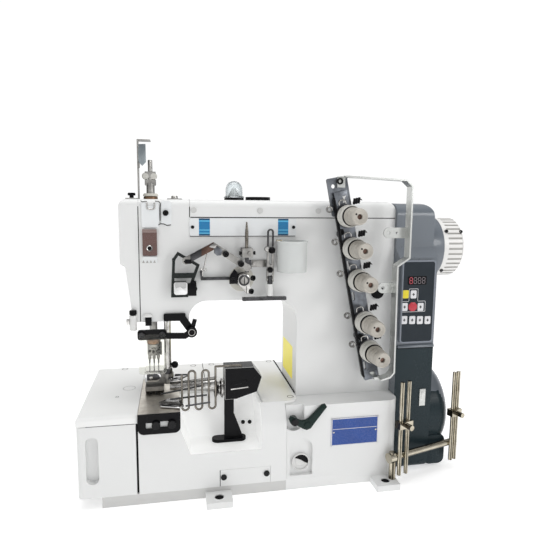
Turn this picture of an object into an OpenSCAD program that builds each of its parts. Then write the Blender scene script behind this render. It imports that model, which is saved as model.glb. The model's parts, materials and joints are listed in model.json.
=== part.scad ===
// Flat-bed binding coverstitch machine: bed, arm, side motor, thread tension unit, binder and tape guide.
// X runs along the arm to the handwheel, Y runs from front to back, Z is up.
// Inside the file x = 0 is the gap right of the left cover and y = 0 is the bed's front face.

/* [Bed] */
// Depth of the bed from front to back
bed_d = 178; // [165:1:200]
// Height of the base under the covers
base_h = 14; // [12:0.5:20]
// Height of the bed body above the base
bed_h = 98; // [90:1:110]
// Thickness of the top plates
plate_t = 4; // [3:0.5:6]
// Width of the hinged left cover
left_cover_w = 67; // [60:1:80]
// Thickness of the plate above the left cover
left_plate_t = 11; // [8:0.5:14]
// Length of the front cover, up to the block
front_cover_l = 178; // [170:1:186]
// Width of the front cover right of the scoop
cover_end_w = 32; // [28:0.5:36]
// Gap between the slide plate and the column
plate_gap = 2; // [1:0.5:5]
// Height of the scooped shelf above the base
shelf_h = 44; // [36:1:50]
// Depth of the scooped shelf
shelf_d = 45; // [40:1:50]
// Wall of the castings
wall = 8; // [6:0.5:10]
// Wall of the covers
skin = 4; // [3:0.5:5]

/* [Feet] */
// Spacing of the foot holes along the bed
foot_pitch_x = 210; // [190:1:230]
// Distance of the foot holes outside the bed
foot_out = 11; // [9:0.5:15]
// Radius of a foot hole
foot_hole_r = 5.5; // [3:0.25:7]
// Thickness of a foot
foot_t = 8; // [6:0.5:10]
// Width of a foot
foot_w = 31; // [24:1:40]

/* [Arm] */
// Distance of the arm's face behind the bed's front
arm_front = 36; // [32:1:44]
// Depth of the arm
arm_d = 84; // [76:1:96]
// Clear height under the arm
throat_h = 124; // [110:1:140]
// Clear length between head and column
throat_l = 135; // [128:1:145]
// Right side of the head
head_right = 62; // [58:0.5:64]
// Height of the arm below its top cover
arm_h = 101; // [96:1:110]
// Height of the top cover
cover_h = 21; // [16:1:26]
// How far the head hangs below the arm
head_drop = 24; // [23:0.5:30]
// Width of the column
column_w = 128; // [122:1:140]
// Reach of the face cover left of the head
face_cover_w = 22; // [18:0.5:26]

/* [Drive] */
// Radius of both shafts
shaft_r = 9; // [7:0.25:10]
// Radial running clearance
fit = 0.05; // [0.02:0.01:0.1]
// Depth of the arm shaft below the top cover
shaft_drop = 40; // [36:0.5:46]
// Height of the main shaft above the base
main_shaft_h = 56; // [54:0.5:60]
// Radius of the belt pulleys
pulley_r = 22; // [18:0.5:24]
// Radius of the handwheel
wheel_r = 40; // [34:0.5:46]
// Width of the handwheel
wheel_w = 37; // [30:0.5:45]

/* [Motor] */
// Width of the motor housing
motor_w = 52; // [48:0.5:60]
// Distance of the housing's front behind the bed's front
motor_front = 18; // [16:0.5:22]
// Radius of the motor's round end
motor_r = 60; // [55:0.5:62]
// Reach of the motor's round end
motor_end_l = 32; // [26:0.5:40]
// Width of the control panel
panel_w = 46; // [40:0.5:47]
// Height of the control panel
panel_h = 107; // [90:1:112]

/* [Needle] */
// Position of the needle bar along the bed
needle_x = 18; // [16:0.5:20]
// Radius of the needle bar
needle_bar_r = 5; // [4:0.25:5.5]
// Distance from needle bar to presser bar
presser_pitch = 17.5; // [16:0.5:19]
// Radius of the presser bar
presser_bar_r = 4.5; // [3.5:0.25:5]
// Spacing of the needles
needle_gauge = 5.6; // [4:0.2:6]
// Height of the needle tips above the bed
needle_lift = 4; // [3:0.5:8]

/* [Thread tension] */
// Radius of a tension knob
knob_r = 11.6; // [9:0.2:13]
// Length of a tension knob
knob_l = 46; // [40:0.5:50]
// Radius of a tension post
post_r = 3; // [2:0.25:4]
// Radius of the tension discs
disc_r = 14; // [12:0.25:16]
// Lean of the row of knobs
tension_tilt = 11.4; // [8:0.2:14]

/* [Tape guide] */
// Radius of the guide's cross rod
tape_rod_r = 4.3; // [3:0.1:5]
// Length of the cross rod
tape_rod_l = 106; // [90:1:120]
// Radius of an upright bar
tape_bar_r = 2.6; // [2:0.1:3]
// Length of an upright bar
tape_bar_l = 122; // [100:1:130]
// Turn of the guide away from the bed's line
tape_turn = 16; // [10:0.5:20]

/* [Hidden] */
$fn = 64;
eps = 0.01;
gap = 0.3;

// Heights
bed_top = base_h + bed_h;
deck_z = bed_top - plate_t;
left_plate_z = bed_top - left_plate_t;
shelf_z = base_h + shelf_h;
arm_under = bed_top + throat_h;
arm_deck = arm_under + arm_h;
arm_top = arm_deck + cover_h;
head_bottom = arm_under - head_drop;
arm_shaft_z = arm_deck - shaft_drop;
main_shaft_z = base_h + main_shaft_h;

// Positions along the bed and across it
column_left = head_right + throat_l;
column_right = column_left + column_w;
arm_rear = arm_front + arm_d;
shaft_y = arm_front + arm_d / 2;
foot_y = -foot_out;
foot_pitch_y = bed_d + 2 * foot_out;
origin_x = 199;
origin_y = bed_d / 2;
foot_x = origin_x - foot_pitch_x / 2;
pan_left = -41;
block_front = 2;
edge = 1.5;

// Scoop in the front cover
scoop_left = 50;
scoop_right = front_cover_l - cover_end_w;
slide_plate_right = column_left - plate_gap;
access_x = [scoop_right - 50, scoop_right + 12];
access_h = 21;
access_screw_x = [access_x[0] + 4.5, access_x[1] - 5];
access_screw_z = base_h + 12;
scoop_lean = 12;
slope_run = 22;
slope_y = shelf_d + slope_run * (deck_z - shelf_z) / (bed_top - shelf_z);
chamfer_drop = 24;
chamfer_run = 12;
plate_split = 85;
needle_plate_d = 120;

// Hinge of the left cover
hinge_x = 7 - left_cover_w;
hinge_y = bed_d - 10;
hinge_r = 3;
lug_t = 5;

// Needle, feed and looper
presser_x = needle_x + presser_pitch;
clamp_z = bed_top + 56;
needle_tip = bed_top + needle_lift;
feed_slots = [-4.5, 2.5, 9.5];
looper_x = needle_x + 4;
looper_z = base_h + 20;

// Drive
belt_x = column_right - 55;
belt_w = 12;
crank_r = 18;
rotor_r = motor_r - 16;
motor_right = column_right + motor_w;
neck_l = 12;
wheel_x = motor_right + neck_l + 1;
motor_rear = 128;
panel_t = 5;
panel_top = arm_under + 49;

// Rocking take-up lever on the arm
rock_x = column_left - 70;
rock_z = arm_under + 27;
rock_r = 5;

// Eye guard
guard_pivot = [head_right + 3, head_bottom - 12];
guard_y = arm_front - 6;

// Thread tension
tension_x = column_left + 55;
tension_z = arm_under + 104;
tension_steps = [0, 40, 80, 134, 172];
tension_plate_y = arm_front - 19;
tension_plate_t = 3;

// Feed lever on the block
lever_pivot = [front_cover_l + 9, bed_top - 22];
lever_pin_r = 2.5;
lever_hub_r = 5;
lever_recess_r = 13;
lever_recess_d = 6;

// Binder on the shelf
binder_x = scoop_right - 42;
binder_y = 20;
binder_d = 24;
scroll_y = 56;
scroll_z = bed_top + 11;

// Tape guide
tape_post = [foot_x + foot_pitch_x + 10.2, foot_y + 3];
tape_z = base_h + 22;
tape_pairs = [[6, 17], [95, 102]];
stop_z = base_h + 62;

// Shared shapes

module box(low, high) {
    translate(low) cube(high - low);
}

// A front-view outline (x, z) pushed from y0 to y1
module front_extrude(y0, y1) {
    translate([0, y1, 0]) rotate([90, 0, 0]) linear_extrude(y1 - y0) children();
}

// A side-view outline (y, z) pushed from x0 to x1
module side_extrude(x0, x1) {
    translate([x0, 0, 0]) rotate([90, 0, 90]) linear_extrude(x1 - x0) children();
}

module plan_extrude(z0, z1) {
    translate([0, 0, z0]) linear_extrude(z1 - z0) children();
}

module rod_x(x0, x1, y, z, r) {
    translate([x0, y, z]) rotate([0, 90, 0]) cylinder(h = x1 - x0, r = r);
}

module rod_y(y0, y1, x, z, r) {
    translate([x, y1, z]) rotate([90, 0, 0]) cylinder(h = y1 - y0, r = r);
}

module rod_z(z0, z1, x, y, r) {
    translate([x, y, z0]) cylinder(h = z1 - z0, r = r);
}

// Rectangle between two corners with round corners
module round_rect(low, high, r) {
    size = high - low;
    translate(low + [r, 0]) square([size.x - 2 * r, size.y]);
    translate(low + [0, r]) square([size.x, size.y - 2 * r]);
    for (cx = [low.x + r, high.x - r], cy = [low.y + r, high.y - r]) translate([cx, cy]) circle(r);
}

// Inner corner fill of radius r; sx and sy point into the open side
module corner_fill(p, r, sx, sy) {
    difference() {
        translate([sx > 0 ? p.x : p.x - r, sy > 0 ? p.y : p.y - r]) square(r);
        translate(p + [sx * r, sy * r]) circle(r);
    }
}

// Straight link of width w with round ends
module link(a, b, w) {
    d = b - a;
    translate(a) rotate(atan2(d.y, d.x)) translate([0, -w / 2]) square([norm(d), w]);
    translate(a) circle(w / 2);
    translate(b) circle(w / 2);
}

function unit(v) = v / norm(v);
function left_of(v) = [-v.y, v.x];

// Mitred corner of a bent strip, h to the left of point i
function strip_corner(points, i, h) =
    let (last = len(points) - 1)
    let (before = left_of(unit(i > 0 ? points[i] - points[i - 1] : points[1] - points[0])))
    let (after = left_of(unit(i < last ? points[i + 1] - points[i] : points[last] - points[last - 1])))
    let (mitre = unit(before + after))
    points[i] + mitre * h / (mitre * before);

// Strip of width w bent along the points
module strip(points, w) {
    last = len(points) - 1;
    polygon(concat([for (i = [0:last]) strip_corner(points, i, w / 2)],
        [for (i = [last:-1:0]) strip_corner(points, i, -w / 2)]));
}

// Turned shape along X or Y, drawn as radius against length
module turned_x(x, y, z) {
    translate([x, y, z]) rotate([0, 90, 0]) rotate_extrude() children();
}

module turned_y(x, y, z) {
    translate([x, y, z]) rotate([90, 0, 0]) rotate_extrude() children();
}

// Bed

module bed_frame() {
    rim = 6;
    cavity_x = front_cover_l + wall;
    bearing_x = 48;
    web = 10;
    color("whitesmoke") difference() {
        union() {
            box([pan_left, block_front, 0], [front_cover_l, bed_d, foot_t]);
            box([pan_left, block_front, 0], [front_cover_l, block_front + rim, base_h]);
            box([pan_left, block_front, 0], [pan_left + rim, bed_d, base_h]);
            box([pan_left, bed_d - wall, 0], [edge, bed_d, left_plate_z]);
            box([edge, bed_d - wall, 0], [front_cover_l, bed_d, deck_z]);
            side_extrude(bearing_x, bearing_x + web) bearing_wall();
            box([front_cover_l - web, block_front + rim + 20, 0], [front_cover_l, bed_d, deck_z]);
            block_shell();
            for (y = [bed_d - 64, bed_d - 20]) {
                box([presser_x - 4, y, deck_z - 28], [bearing_x + 1, y + web, deck_z - 20 - gap]);
            }
            for (y = [shaft_y - 26, shaft_y + 20]) {
                box([looper_x - 9, y, 1], [looper_x + 9, y + 6, looper_z + 10]);
            }
            for (x = [0, foot_pitch_x], side = [0, 1]) foot(foot_x + x, side);
            for (z = [base_h, left_plate_z - lug_t]) hinge_lug(z);
        }
        rod_x(bearing_x - 1, column_right + 1, shaft_y, main_shaft_z, shaft_r + fit);
        rod_y(shaft_y - 40, shaft_y + 40, looper_x, looper_z, 4 + fit);
        for (x = [0, foot_pitch_x], y = [foot_y, foot_y + foot_pitch_y]) {
            rod_z(-1, foot_t + 1, foot_x + x, y, foot_hole_r);
        }
        rod_z(base_h - 1, left_plate_z + 1, hinge_x, hinge_y, hinge_r + fit);
        front_extrude(block_front - 1, block_front + 5) arch();
        front_extrude(block_front - 1, block_front + lever_recess_d) lever_recess();
        rod_y(block_front - 1, block_front + 9, lever_pivot.x, lever_pivot.y, lever_pin_r);
    }

    module bearing_wall() {
        polygon([[62, 1], [62, shelf_z + 14], [slope_y + 8, deck_z], [bed_d - 1, deck_z], [bed_d - 1, 1]]);
    }

    module block_shell() {
        difference() {
            plan_extrude(0, deck_z) block_plan();
            box([cavity_x, block_front + 10, wall], [column_right - wall, bed_d - wall, deck_z - wall]);
            box([column_left + 10, arm_front + 8, deck_z - wall - 1],
                [column_right - 10, arm_rear - 8, deck_z + 1]);
        }
    }

    module block_plan() {
        r = 14;
        difference() {
            translate([front_cover_l, block_front]) square([column_right - front_cover_l, bed_d - block_front]);
            corner_fill([column_right, block_front], r, -1, 1);
        }
    }

    module arch() {
        r = 14.5;
        x = front_cover_l + 19;
        translate([x - r, base_h + 4]) square([2 * r, 34]);
        translate([x, base_h + 38]) circle(r);
    }

    // Round recess in the block's upper corner, open at the top
    module lever_recess() {
        translate(lever_pivot) circle(lever_recess_r);
        translate([front_cover_l - 1, lever_pivot.y]) square([10, lever_recess_r + 10]);
        translate(lever_pivot) square([lever_recess_r, bed_top]);
    }

    module foot(x, side) {
        y0 = side == 0 ? foot_y - 12 : bed_d - 2;
        y1 = side == 0 ? block_front + 2 : foot_y + foot_pitch_y + 12;
        plan_extrude(0, foot_t) round_rect([x - foot_w / 2, y0], [x + foot_w / 2, y1], 1.5);
    }

    module hinge_lug(z) {
        rod_z(z, z + lug_t, hinge_x, hinge_y, wall);
        box([hinge_x, hinge_y - 4, z], [pan_left + 1, bed_d, z + lug_t]);
    }
}

module front_cover() {
    right = front_cover_l - 0.5;
    flange = 30;
    color("white") difference() {
        union() {
            side_extrude(edge, scoop_left) polygon([[0, base_h], [skin, base_h], [skin, deck_z - skin],
                [flange, deck_z - skin], [flange, deck_z], [0, deck_z]]);
            side_extrude(scoop_left - skin, scoop_left) scoop_end(0);
            side_extrude(scoop_left, scoop_right) polygon([[0, base_h], [skin, base_h], [skin, shelf_z - skin],
                [shelf_d + skin / 2, shelf_z - skin], [slope_y + 5, deck_z], [slope_y, deck_z],
                [shelf_d, shelf_z], [0, shelf_z]]);
            side_extrude(scoop_right, scoop_right + skin) scoop_end(chamfer_run);
            side_extrude(scoop_right, right) polygon([[0, base_h], [skin, base_h],
                [skin, bed_top - chamfer_drop - 2], [chamfer_run + 2, deck_z - skin], [24, deck_z - skin],
                [24, deck_z], [chamfer_run, deck_z], [chamfer_run, bed_top], [0, bed_top - chamfer_drop]]);
            intersection() {
                front_extrude(0, slope_y + 5) polygon([[scoop_left - 1, shelf_z - 1],
                    [scoop_left + scoop_lean, shelf_z - 1], [scoop_left, deck_z - 18],
                    [scoop_left - 1, deck_z - 18]]);
                side_extrude(scoop_left - 1, scoop_right) scoop_end(0);
            }
            front_extrude(skin - 1, skin + 3) access_outline(-4);
        }
        front_extrude(-1, skin) access_outline(0);
        front_extrude(-1, skin + 4) translate([access_x[0] + 9, base_h + 5])
            square([access_x[1] - access_x[0] - 18, access_h - 10]);
        for (x = access_screw_x) rod_y(skin - 1, skin + 4, x, access_screw_z, 2);
    }

    module scoop_end(run) {
        polygon([[0, shelf_z - skin], [shelf_d + skin / 2, shelf_z - skin], [slope_y + 5, deck_z],
            [run, deck_z], [run, run > 0 ? bed_top : deck_z], [0, run > 0 ? bed_top - chamfer_drop : deck_z]]);
    }
}

// Window of the access plate, drawn in by the given margin
module access_outline(inset) {
    low = [access_x[0] + inset, base_h + max(inset, 0)];
    high = [access_x[1] - inset, base_h + access_h - inset];
    translate(low) square(high - low);
}

module access_plate() {
    color("white") front_extrude(0, skin) difference() {
        translate([access_x[0] + gap, base_h + gap])
            square([access_x[1] - access_x[0] - 2 * gap, access_h - 2 * gap]);
        for (x = access_screw_x) translate([x, access_screw_z]) circle(2 + fit);
    }
}

module front_thread_guide() {
    t = 2.5;
    corner = 7;
    low = [edge, bed_top - 24];
    color("#1c1e22") front_extrude(-t, 0) difference() {
        union() {
            round_rect(low, [scoop_left, bed_top], corner);
            translate(low + [0, corner]) square([scoop_left - edge, 24 - corner]);
        }
        translate([10.5, bed_top - 17.5]) square([7, 7.5]);
        translate([27, bed_top - 16.5]) square([9, 7.5]);
        for (x = guide_screw_x) translate([x, guide_screw_z]) circle(2 + fit);
    }
}

guide_screw_x = [22, 40];
guide_screw_z = bed_top - 12.5;

module needle_plate() {
    color("#c9c4b8") difference() {
        box([edge, 0, deck_z], [scoop_left - gap, needle_plate_d, bed_top]);
        for (x = feed_slots) {
            for (y = [shaft_y - 17.5, shaft_y + 5]) {
                box([needle_x + x - 1.6, y, deck_z - 1], [needle_x + x + 1.6, y + 13, bed_top + 1]);
            }
        }
        box([needle_x - 9, shaft_y - 2.5, deck_z - 1], [needle_x + 9, shaft_y + 2.5, bed_top + 1]);
    }
}

module throat_plate() {
    color("white") plan_extrude(deck_z, bed_top) polygon([[scoop_left, slope_y + 0.5],
        [plate_split - gap, slope_y + 0.5], [plate_split - gap, bed_d], [edge, bed_d],
        [edge, needle_plate_d + gap], [scoop_left, needle_plate_d + gap]]);
}

module slide_plate() {
    r = 14;
    inner = scoop_right + skin + gap;
    front = chamfer_run + gap;
    color("white") plan_extrude(deck_z, bed_top) difference() {
        polygon([[plate_split, slope_y + 0.5], [inner, slope_y + 0.5], [inner, front],
            [slide_plate_right, front], [slide_plate_right, bed_d], [plate_split, bed_d]]);
        corner_fill([slide_plate_right, front], r, -1, 1);
    }
}

module left_top_plate() {
    r = 5;
    color("white") intersection() {
        side_extrude(-left_cover_w, edge - gap) round_rect([0, left_plate_z - r], [bed_d, bed_top], r);
        front_extrude(-1, bed_d + 1) difference() {
            translate([-left_cover_w, left_plate_z]) square([left_cover_w + edge - gap, left_plate_t]);
            corner_fill([-left_cover_w, bed_top], r, 1, -1);
        }
    }
}

module cover_hinge_pin() {
    color("silver") rod_z(base_h, left_plate_z, hinge_x, hinge_y, hinge_r);
}

// Front and left walls of the looper chamber, swinging on the rear pin
module left_cover() {
    low = base_h + gap;
    high = left_plate_z - gap;
    eye_low = low + lug_t + 1;
    eye_high = high - lug_t - 1;
    pocket_x = -50;
    pocket_z = (low + high) / 2 + 2;
    pocket_h = 57;
    pocket_d = 8;
    color("white") difference() {
        union() {
            difference() {
                plan_extrude(low, high) difference() {
                    translate([-left_cover_w, 0]) square([left_cover_w - 1, hinge_y - 11]);
                    translate([-left_cover_w + skin, skin]) square([left_cover_w, bed_d]);
                    corner_fill([-left_cover_w, 0], 6, 1, 1);
                }
            }
            front_extrude(skin - 1, pocket_d + skin) pocket(3);
            box([-left_cover_w, hinge_y - 12, eye_low], [-left_cover_w + skin, hinge_y, eye_high]);
            box([-left_cover_w, hinge_y - 4, eye_low], [hinge_x, hinge_y, eye_high]);
            rod_z(eye_low, eye_high, hinge_x, hinge_y, 6);
        }
        front_extrude(-1, pocket_d) pocket(0);
        rod_z(low, high, hinge_x, hinge_y, hinge_r + fit);
    }

    module pocket(grow) {
        r = 7;
        link([pocket_x, pocket_z - pocket_h / 2 + r], [pocket_x, pocket_z + pocket_h / 2 - r], 2 * (r + grow));
    }
}

module nameplate() {
    color("#24499a") front_extrude(block_front - 0.8, block_front)
        round_rect([front_cover_l + 57, bed_top - 59], [front_cover_l + 119, bed_top - 23], 1.5);
}

module oil_gauge() {
    r = 11.5;
    color("gainsboro") turned_y(front_cover_l + 19, block_front + 5, base_h + 20) polygon([[0, 0],
        [r, 0], [r, 2.4], [r - 1, 3], [r - 2.2, 3], [r - 2.6, 1.6], [0, 2.4]]);
}

// Arm

module arm_outline() {
    fillet = 22;
    difference() {
        union() {
            polygon([[5, head_bottom], [head_right, head_bottom], [head_right, arm_under],
                [column_left, arm_under], [column_left, deck_z], [column_right, deck_z],
                [column_right, arm_deck], [head_right + 2, arm_deck], [head_right + 2, arm_top], [5, arm_top]]);
            corner_fill([head_right, arm_under], fillet, 1, -1);
            corner_fill([column_left, arm_under], fillet + 8, -1, -1);
        }
    }
}

// Section of the arm and its covers with rounded top edges
module arm_section() {
    round_rect([arm_front, deck_z - 20], [arm_rear, arm_top], 9);
}

module arm_frame() {
    web = 14;
    inner_y = [arm_front + wall, arm_rear - wall];
    color("whitesmoke") difference() {
        intersection() {
            front_extrude(arm_front, arm_rear) arm_outline();
            side_extrude(0, column_right + 1) arm_section();
        }
        box([4, inner_y[0], head_bottom + 10], [head_right - wall, inner_y[1], arm_top - wall]);
        box([head_right - wall + web, inner_y[0], arm_under + wall],
            [column_right - 10, inner_y[1], arm_deck + 1]);
        box([column_left + 10, inner_y[0], deck_z - 1], [column_right - 10, inner_y[1], arm_deck]);
        rod_x(head_right - wall - 1, column_right + 1, shaft_y, arm_shaft_z, shaft_r + fit);
        rod_z(head_bottom - 1, arm_top + 1, needle_x, shaft_y, needle_bar_r + fit);
        rod_z(head_bottom - 1, head_bottom + 11, presser_x, shaft_y, presser_bar_r + fit);
        rod_y(arm_front - 1, arm_front + wall + 1, rock_x, rock_z, rock_r + fit);
    }
}

module face_cover() {
    right = 5;
    step_z = arm_under + 46;
    color("white") difference() {
        intersection() {
            front_extrude(arm_front, arm_rear) face_outline(0);
            side_extrude(-face_cover_w, right) arm_section();
        }
        intersection() {
            front_extrude(arm_front + skin, arm_rear - skin) face_outline(skin);
            box([-face_cover_w, arm_front, head_bottom + 6], [right + 1, arm_rear, arm_top - skin]);
        }
    }

    module face_outline(inset) {
        x = 5 - face_cover_w + inset;
        r = 9;
        difference() {
            polygon([[right + inset, head_bottom], [right + inset, arm_top], [x, arm_top], [x, step_z],
                [x + 6, step_z - 4], [x + 12, head_bottom + 14], [x + 13, head_bottom]]);
            corner_fill([x, arm_top], r, 1, -1);
        }
    }
}

module top_cover() {
    left = head_right + 2 + gap;
    color("white") difference() {
        intersection() {
            front_extrude(arm_front, arm_rear) cover_outline(0);
            side_extrude(left, column_right) arm_section();
        }
        intersection() {
            front_extrude(arm_front + skin, arm_rear - skin) cover_outline(skin);
            box([left + skin, arm_front, arm_deck - 1], [column_right - skin, arm_rear, arm_top - skin]);
        }
        for (x = cover_screw_x) rod_y(arm_front - 1, arm_front + skin + 1, x, cover_screw_z, 2 + fit);
        rod_z(arm_top - skin - 1, arm_top + 1, dome_x, shaft_y, 7 + fit);
        rod_z(arm_top - skin - 1, arm_top + 1, cap_x, shaft_y, 7 + fit);
    }

    module cover_outline(inset) {
        r = 12;
        difference() {
            translate([left, arm_deck - (inset > 0 ? 1 : 0)]) square([column_right - left, cover_h + 2]);
            corner_fill([column_right, arm_top], r + inset, -1, -1);
        }
    }
}

cover_screw_x = [head_right + 7, head_right + 87, head_right + 160];
cover_screw_z = arm_deck + 8.5;
dome_x = head_right + 60;
cap_x = head_right + 91;

module name_strip() {
    low = [head_right + 2, arm_deck - 22];
    high = [column_left - 3, arm_deck - 1];
    color("white") front_extrude(arm_front - 1.5, arm_front) difference() {
        round_rect(low, high, 2);
        for (x = strip_screw_x) translate([x, strip_screw_z]) circle(1.2 + fit);
    }
}

strip_screw_x = [head_right + 5.5, column_left - 6.5];
strip_screw_z = arm_deck - 11.5;

// Clear dome that shows the oil splash
module oil_dome() {
    r = 11;
    color("#e8eef0", 0.5) translate([dome_x, shaft_y, arm_top + 3]) rotate_extrude() intersection() {
        union() {
            difference() {
                translate([0, r - 1]) circle(r);
                translate([0, r - 1]) circle(r - 1.6);
            }
            translate([r - 1.6, 0]) square([1.6, r]);
            translate([r - 1.6, 0]) square([2.6, 2]);
        }
        square([20, 30]);
    }
}

// Black seat of the dome and the black filler cap, each with a stem in the top cover
module top_caps() {
    color("#202020") {
        rod_z(arm_top, arm_top + 3, dome_x, shaft_y, 12.5);
        rod_z(arm_top - skin - 2, arm_top + 1, dome_x, shaft_y, 7);
        rod_z(arm_top, arm_top + 4.5, cap_x, shaft_y, 16);
        rod_z(arm_top - skin - 2, arm_top + 1, cap_x, shaft_y, 7);
    }
}

// Bent strip that shields the moving take-up rod
module take_up_guard() {
    x = needle_x - 15;
    w = 14;
    t = 1.6;
    top = arm_top + 72;
    color("silver") {
        front_extrude(shaft_y - w / 2, shaft_y + w / 2) {
            translate([x - 15, arm_top]) square([15 + t, t]);
            translate([x, arm_top]) square([t, top - arm_top]);
            translate([x, top - t]) square([16, t]);
        }
        side_extrude(x + t - 1, x + t + 1) polygon([[shaft_y - w / 2, top - 8], [shaft_y + w / 2, top - 8],
            [shaft_y + w / 4, top - 30], [shaft_y, top - 34], [shaft_y - w / 4, top - 30]]);
    }
}

// White thread plate, its eyelet comb and the side bracket on the head
module head_thread_plate() {
    t = 2.5;
    color("white") front_extrude(arm_front - t, arm_front) {
        difference() {
            round_rect([needle_x - 9, arm_top - 33], [needle_x + 11, arm_top - 4], 1.5);
            translate([needle_x - 3, arm_top - 8]) square([7, 6]);
        }
        difference() {
            round_rect([needle_x + 13.5, arm_top - 30], [needle_x + 25, arm_top - 2], 2);
            translate([needle_x + 18.5, arm_top - 16]) circle(2);
        }
        difference() {
            translate([needle_x - 9, arm_top - 75]) square([17, 8]);
            for (i = [0:3]) translate([needle_x - 6.5 + i * 4, arm_top - 75]) circle(1.2);
        }
    }
}

module head_tension_plate() {
    color("#6b4a44") front_extrude(arm_front - 4, arm_front) difference() {
        round_rect([needle_x - 8.5, arm_top - 66], [needle_x + 8, arm_top - 35], 1);
        translate([needle_x - 0.5, arm_top - 57]) circle(2.4);
    }
}

// Frame of round bar in front of the take-up lever, with a band and a small mirror box
module loop_guard() {
    y = arm_front - 12;
    bar = 3.4;
    ring = [[45, 288], [50, 295], [73, 281], [60, 245], [43, 245], [45, 288]];
    lift = arm_under - 236;
    points = [for (p = ring) [p.x + head_right - 62, p.y + lift]];
    color("#2b2d30") {
        front_extrude(y, y + bar) {
            strip(points, bar);
            translate(points[0]) circle(bar / 2 + 0.4);
            strip([points[5] + [0, -19], points[2] + [-4, -12]], 6);
        }
        for (p = [points[4] + [5, 8], points[3] + [9, 8]]) rod_y(y, arm_front, p.x, p.y, 3);
        front_extrude(y, y + bar) {
            translate(points[4] + [0, 1.5]) square([16, 16]);
            translate(points[3]) square([11, 15]);
        }
    }
}

// Fixed bent arm that leads the thread to the take-up lever
module guide_arm() {
    y = arm_front - 17;
    t = 4;
    w = 8;
    points = [[rock_x - 68, rock_z + 24], [rock_x - 36, rock_z + 41], [rock_x + 4, rock_z + 15]];
    color("silver") {
        front_extrude(y, y + t) {
            strip(points, w);
            for (p = [points[0], points[2]]) translate(p) circle(w / 2 + 0.4);
        }
        for (s = [0.35, 0.8]) {
            p = points[1] + s * (points[2] - points[1]);
            rod_y(y + t - 1, arm_front, p.x, p.y, 4);
            rod_y(y - 2.5, y + 1, p.x, p.y, 3);
        }
    }
}

// Rocking lever with its shaft through the arm's face
module take_up_lever() {
    y = arm_front - 7;
    t = 4;
    color("silver") {
        rod_y(arm_front - 10, arm_front + wall + 4, rock_x, rock_z, rock_r);
        front_extrude(y, y + t) {
            translate([rock_x, rock_z]) circle(8);
            strip([[rock_x, rock_z], [rock_x - 15, rock_z + 1]], 9);
            strip([[rock_x - 14, rock_z + 1], [rock_x - 49, rock_z + 1], [rock_x - 50, rock_z + 11]], 3.6);
        }
    }
}

// Vertical pin in its clamp block
module pin_guide() {
    x = rock_x + 4;
    z = rock_z + 26;
    y = arm_front - 11;
    color("silver") {
        box([x - 6, y - 5, z + 1], [x + 7, arm_front, z + 12]);
        rod_z(z + 8, z + 69, x, y, 2);
        rod_y(y - 7.5, y - 4, x + 3, z + 6, 2.6);
    }
}

// Slotted eyelet, fork and thread bar under the arm
module slot_guide() {
    x = rock_x + 33;
    z = arm_under;
    y = arm_front - 12;
    color("silver") {
        front_extrude(y, y + 3) {
            difference() {
                link([x, z + 40], [x, z + 84], 8);
                link([x, z + 46], [x, z + 84], 4);
            }
            difference() {
                link([x, z + 26], [x, z + 38], 9);
                translate([x, z + 33]) circle(2.5);
            }
        }
        rod_z(z + 4, z + 26, x, y + 1.5, 3);
        box([x - 34, y - 2, z + 1], [x + 20, y + 5, z + 5]);
        for (z1 = [z + 3, z + 41]) rod_y(y + 2, arm_front, x, z1, 2);
        rod_y(y - 5, y + 1, x, z + 63, 3.2);
        rod_y(y - 1, arm_front, x, z + 63, 1.9);
    }
}

// Open oil cup for thread, with its hinged-looking rim moulded on
module oil_cup() {
    x = rock_x + 58;
    z = arm_under + 37;
    r = 18;
    y = arm_front - r - 1;
    h = 37;
    color("#f2f4f2", 0.75) {
        difference() {
            union() {
                rod_z(z, z + h, x, y, r);
                box([x - 7, y + r - 4, z + 8], [x + 7, arm_front, z + h - 4]);
                rod_z(z + h - 2, z + h, x, y, r + 0.8);
            }
            rod_z(z + 2, z + h + 1, x, y, r - 1.8);
        }
    }
}

// Thread tension

module tension_frame() {
    translate([tension_x, 0, tension_z]) rotate([0, -tension_tilt, 0]) children();
}

module tension_bracket() {
    y = tension_plate_y;
    color("#3a3d42") tension_frame() {
        front_extrude(y, y + tension_plate_t) difference() {
            union() {
                round_rect([-11, -212], [9, 46], 2);
                round_rect([-17, 2], [8, 48], 2);
            }
            translate([-10, 38]) circle(2.5);
            for (s = tension_steps) translate([-7.5, -s - 20]) link([0, -4], [0, 4], 3);
        }
        for (s = [22, 156]) rod_y(y + 1, arm_front, -4, -s, 6);
    }
}

module tension_posts() {
    color("silver") tension_frame() for (s = tension_steps) {
        rod_y(tension_plate_y - 44, tension_plate_y, 0, -s, post_r);
    }
}

module tension_discs() {
    color("gainsboro") tension_frame() for (s = tension_steps) difference() {
        turned_y(0, tension_plate_y, -s) polygon([[0, 0], [disc_r - 3, 0], [disc_r, 1], [disc_r, 2],
            [disc_r - 3, 2.4], [disc_r, 2.8], [disc_r, 3.8], [disc_r - 3, 4.8], [0, 4.8]]);
        rod_y(tension_plate_y - 6, tension_plate_y + 1, 0, -s, post_r + fit);
    }
}

module tension_knob(i) {
    ring = 6;
    y = tension_plate_y - 5.2 - gap;
    color("#cfcac0") tension_frame() difference() {
        turned_y(0, y, -tension_steps[i]) polygon([[0, 0], [disc_r - 1, 0], [disc_r - 0.5, 1],
            [disc_r - 0.5, ring - 1], [disc_r - 1.5, ring], [knob_r + 0.4, ring], [knob_r + 0.4, ring + 3],
            [knob_r, ring + 3], [knob_r - 1, knob_l - 2], [knob_r - 3, knob_l], [0, knob_l]]);
        rod_y(y - knob_l - 1, y + 1, 0, -tension_steps[i], post_r + fit);
    }
}

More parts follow.
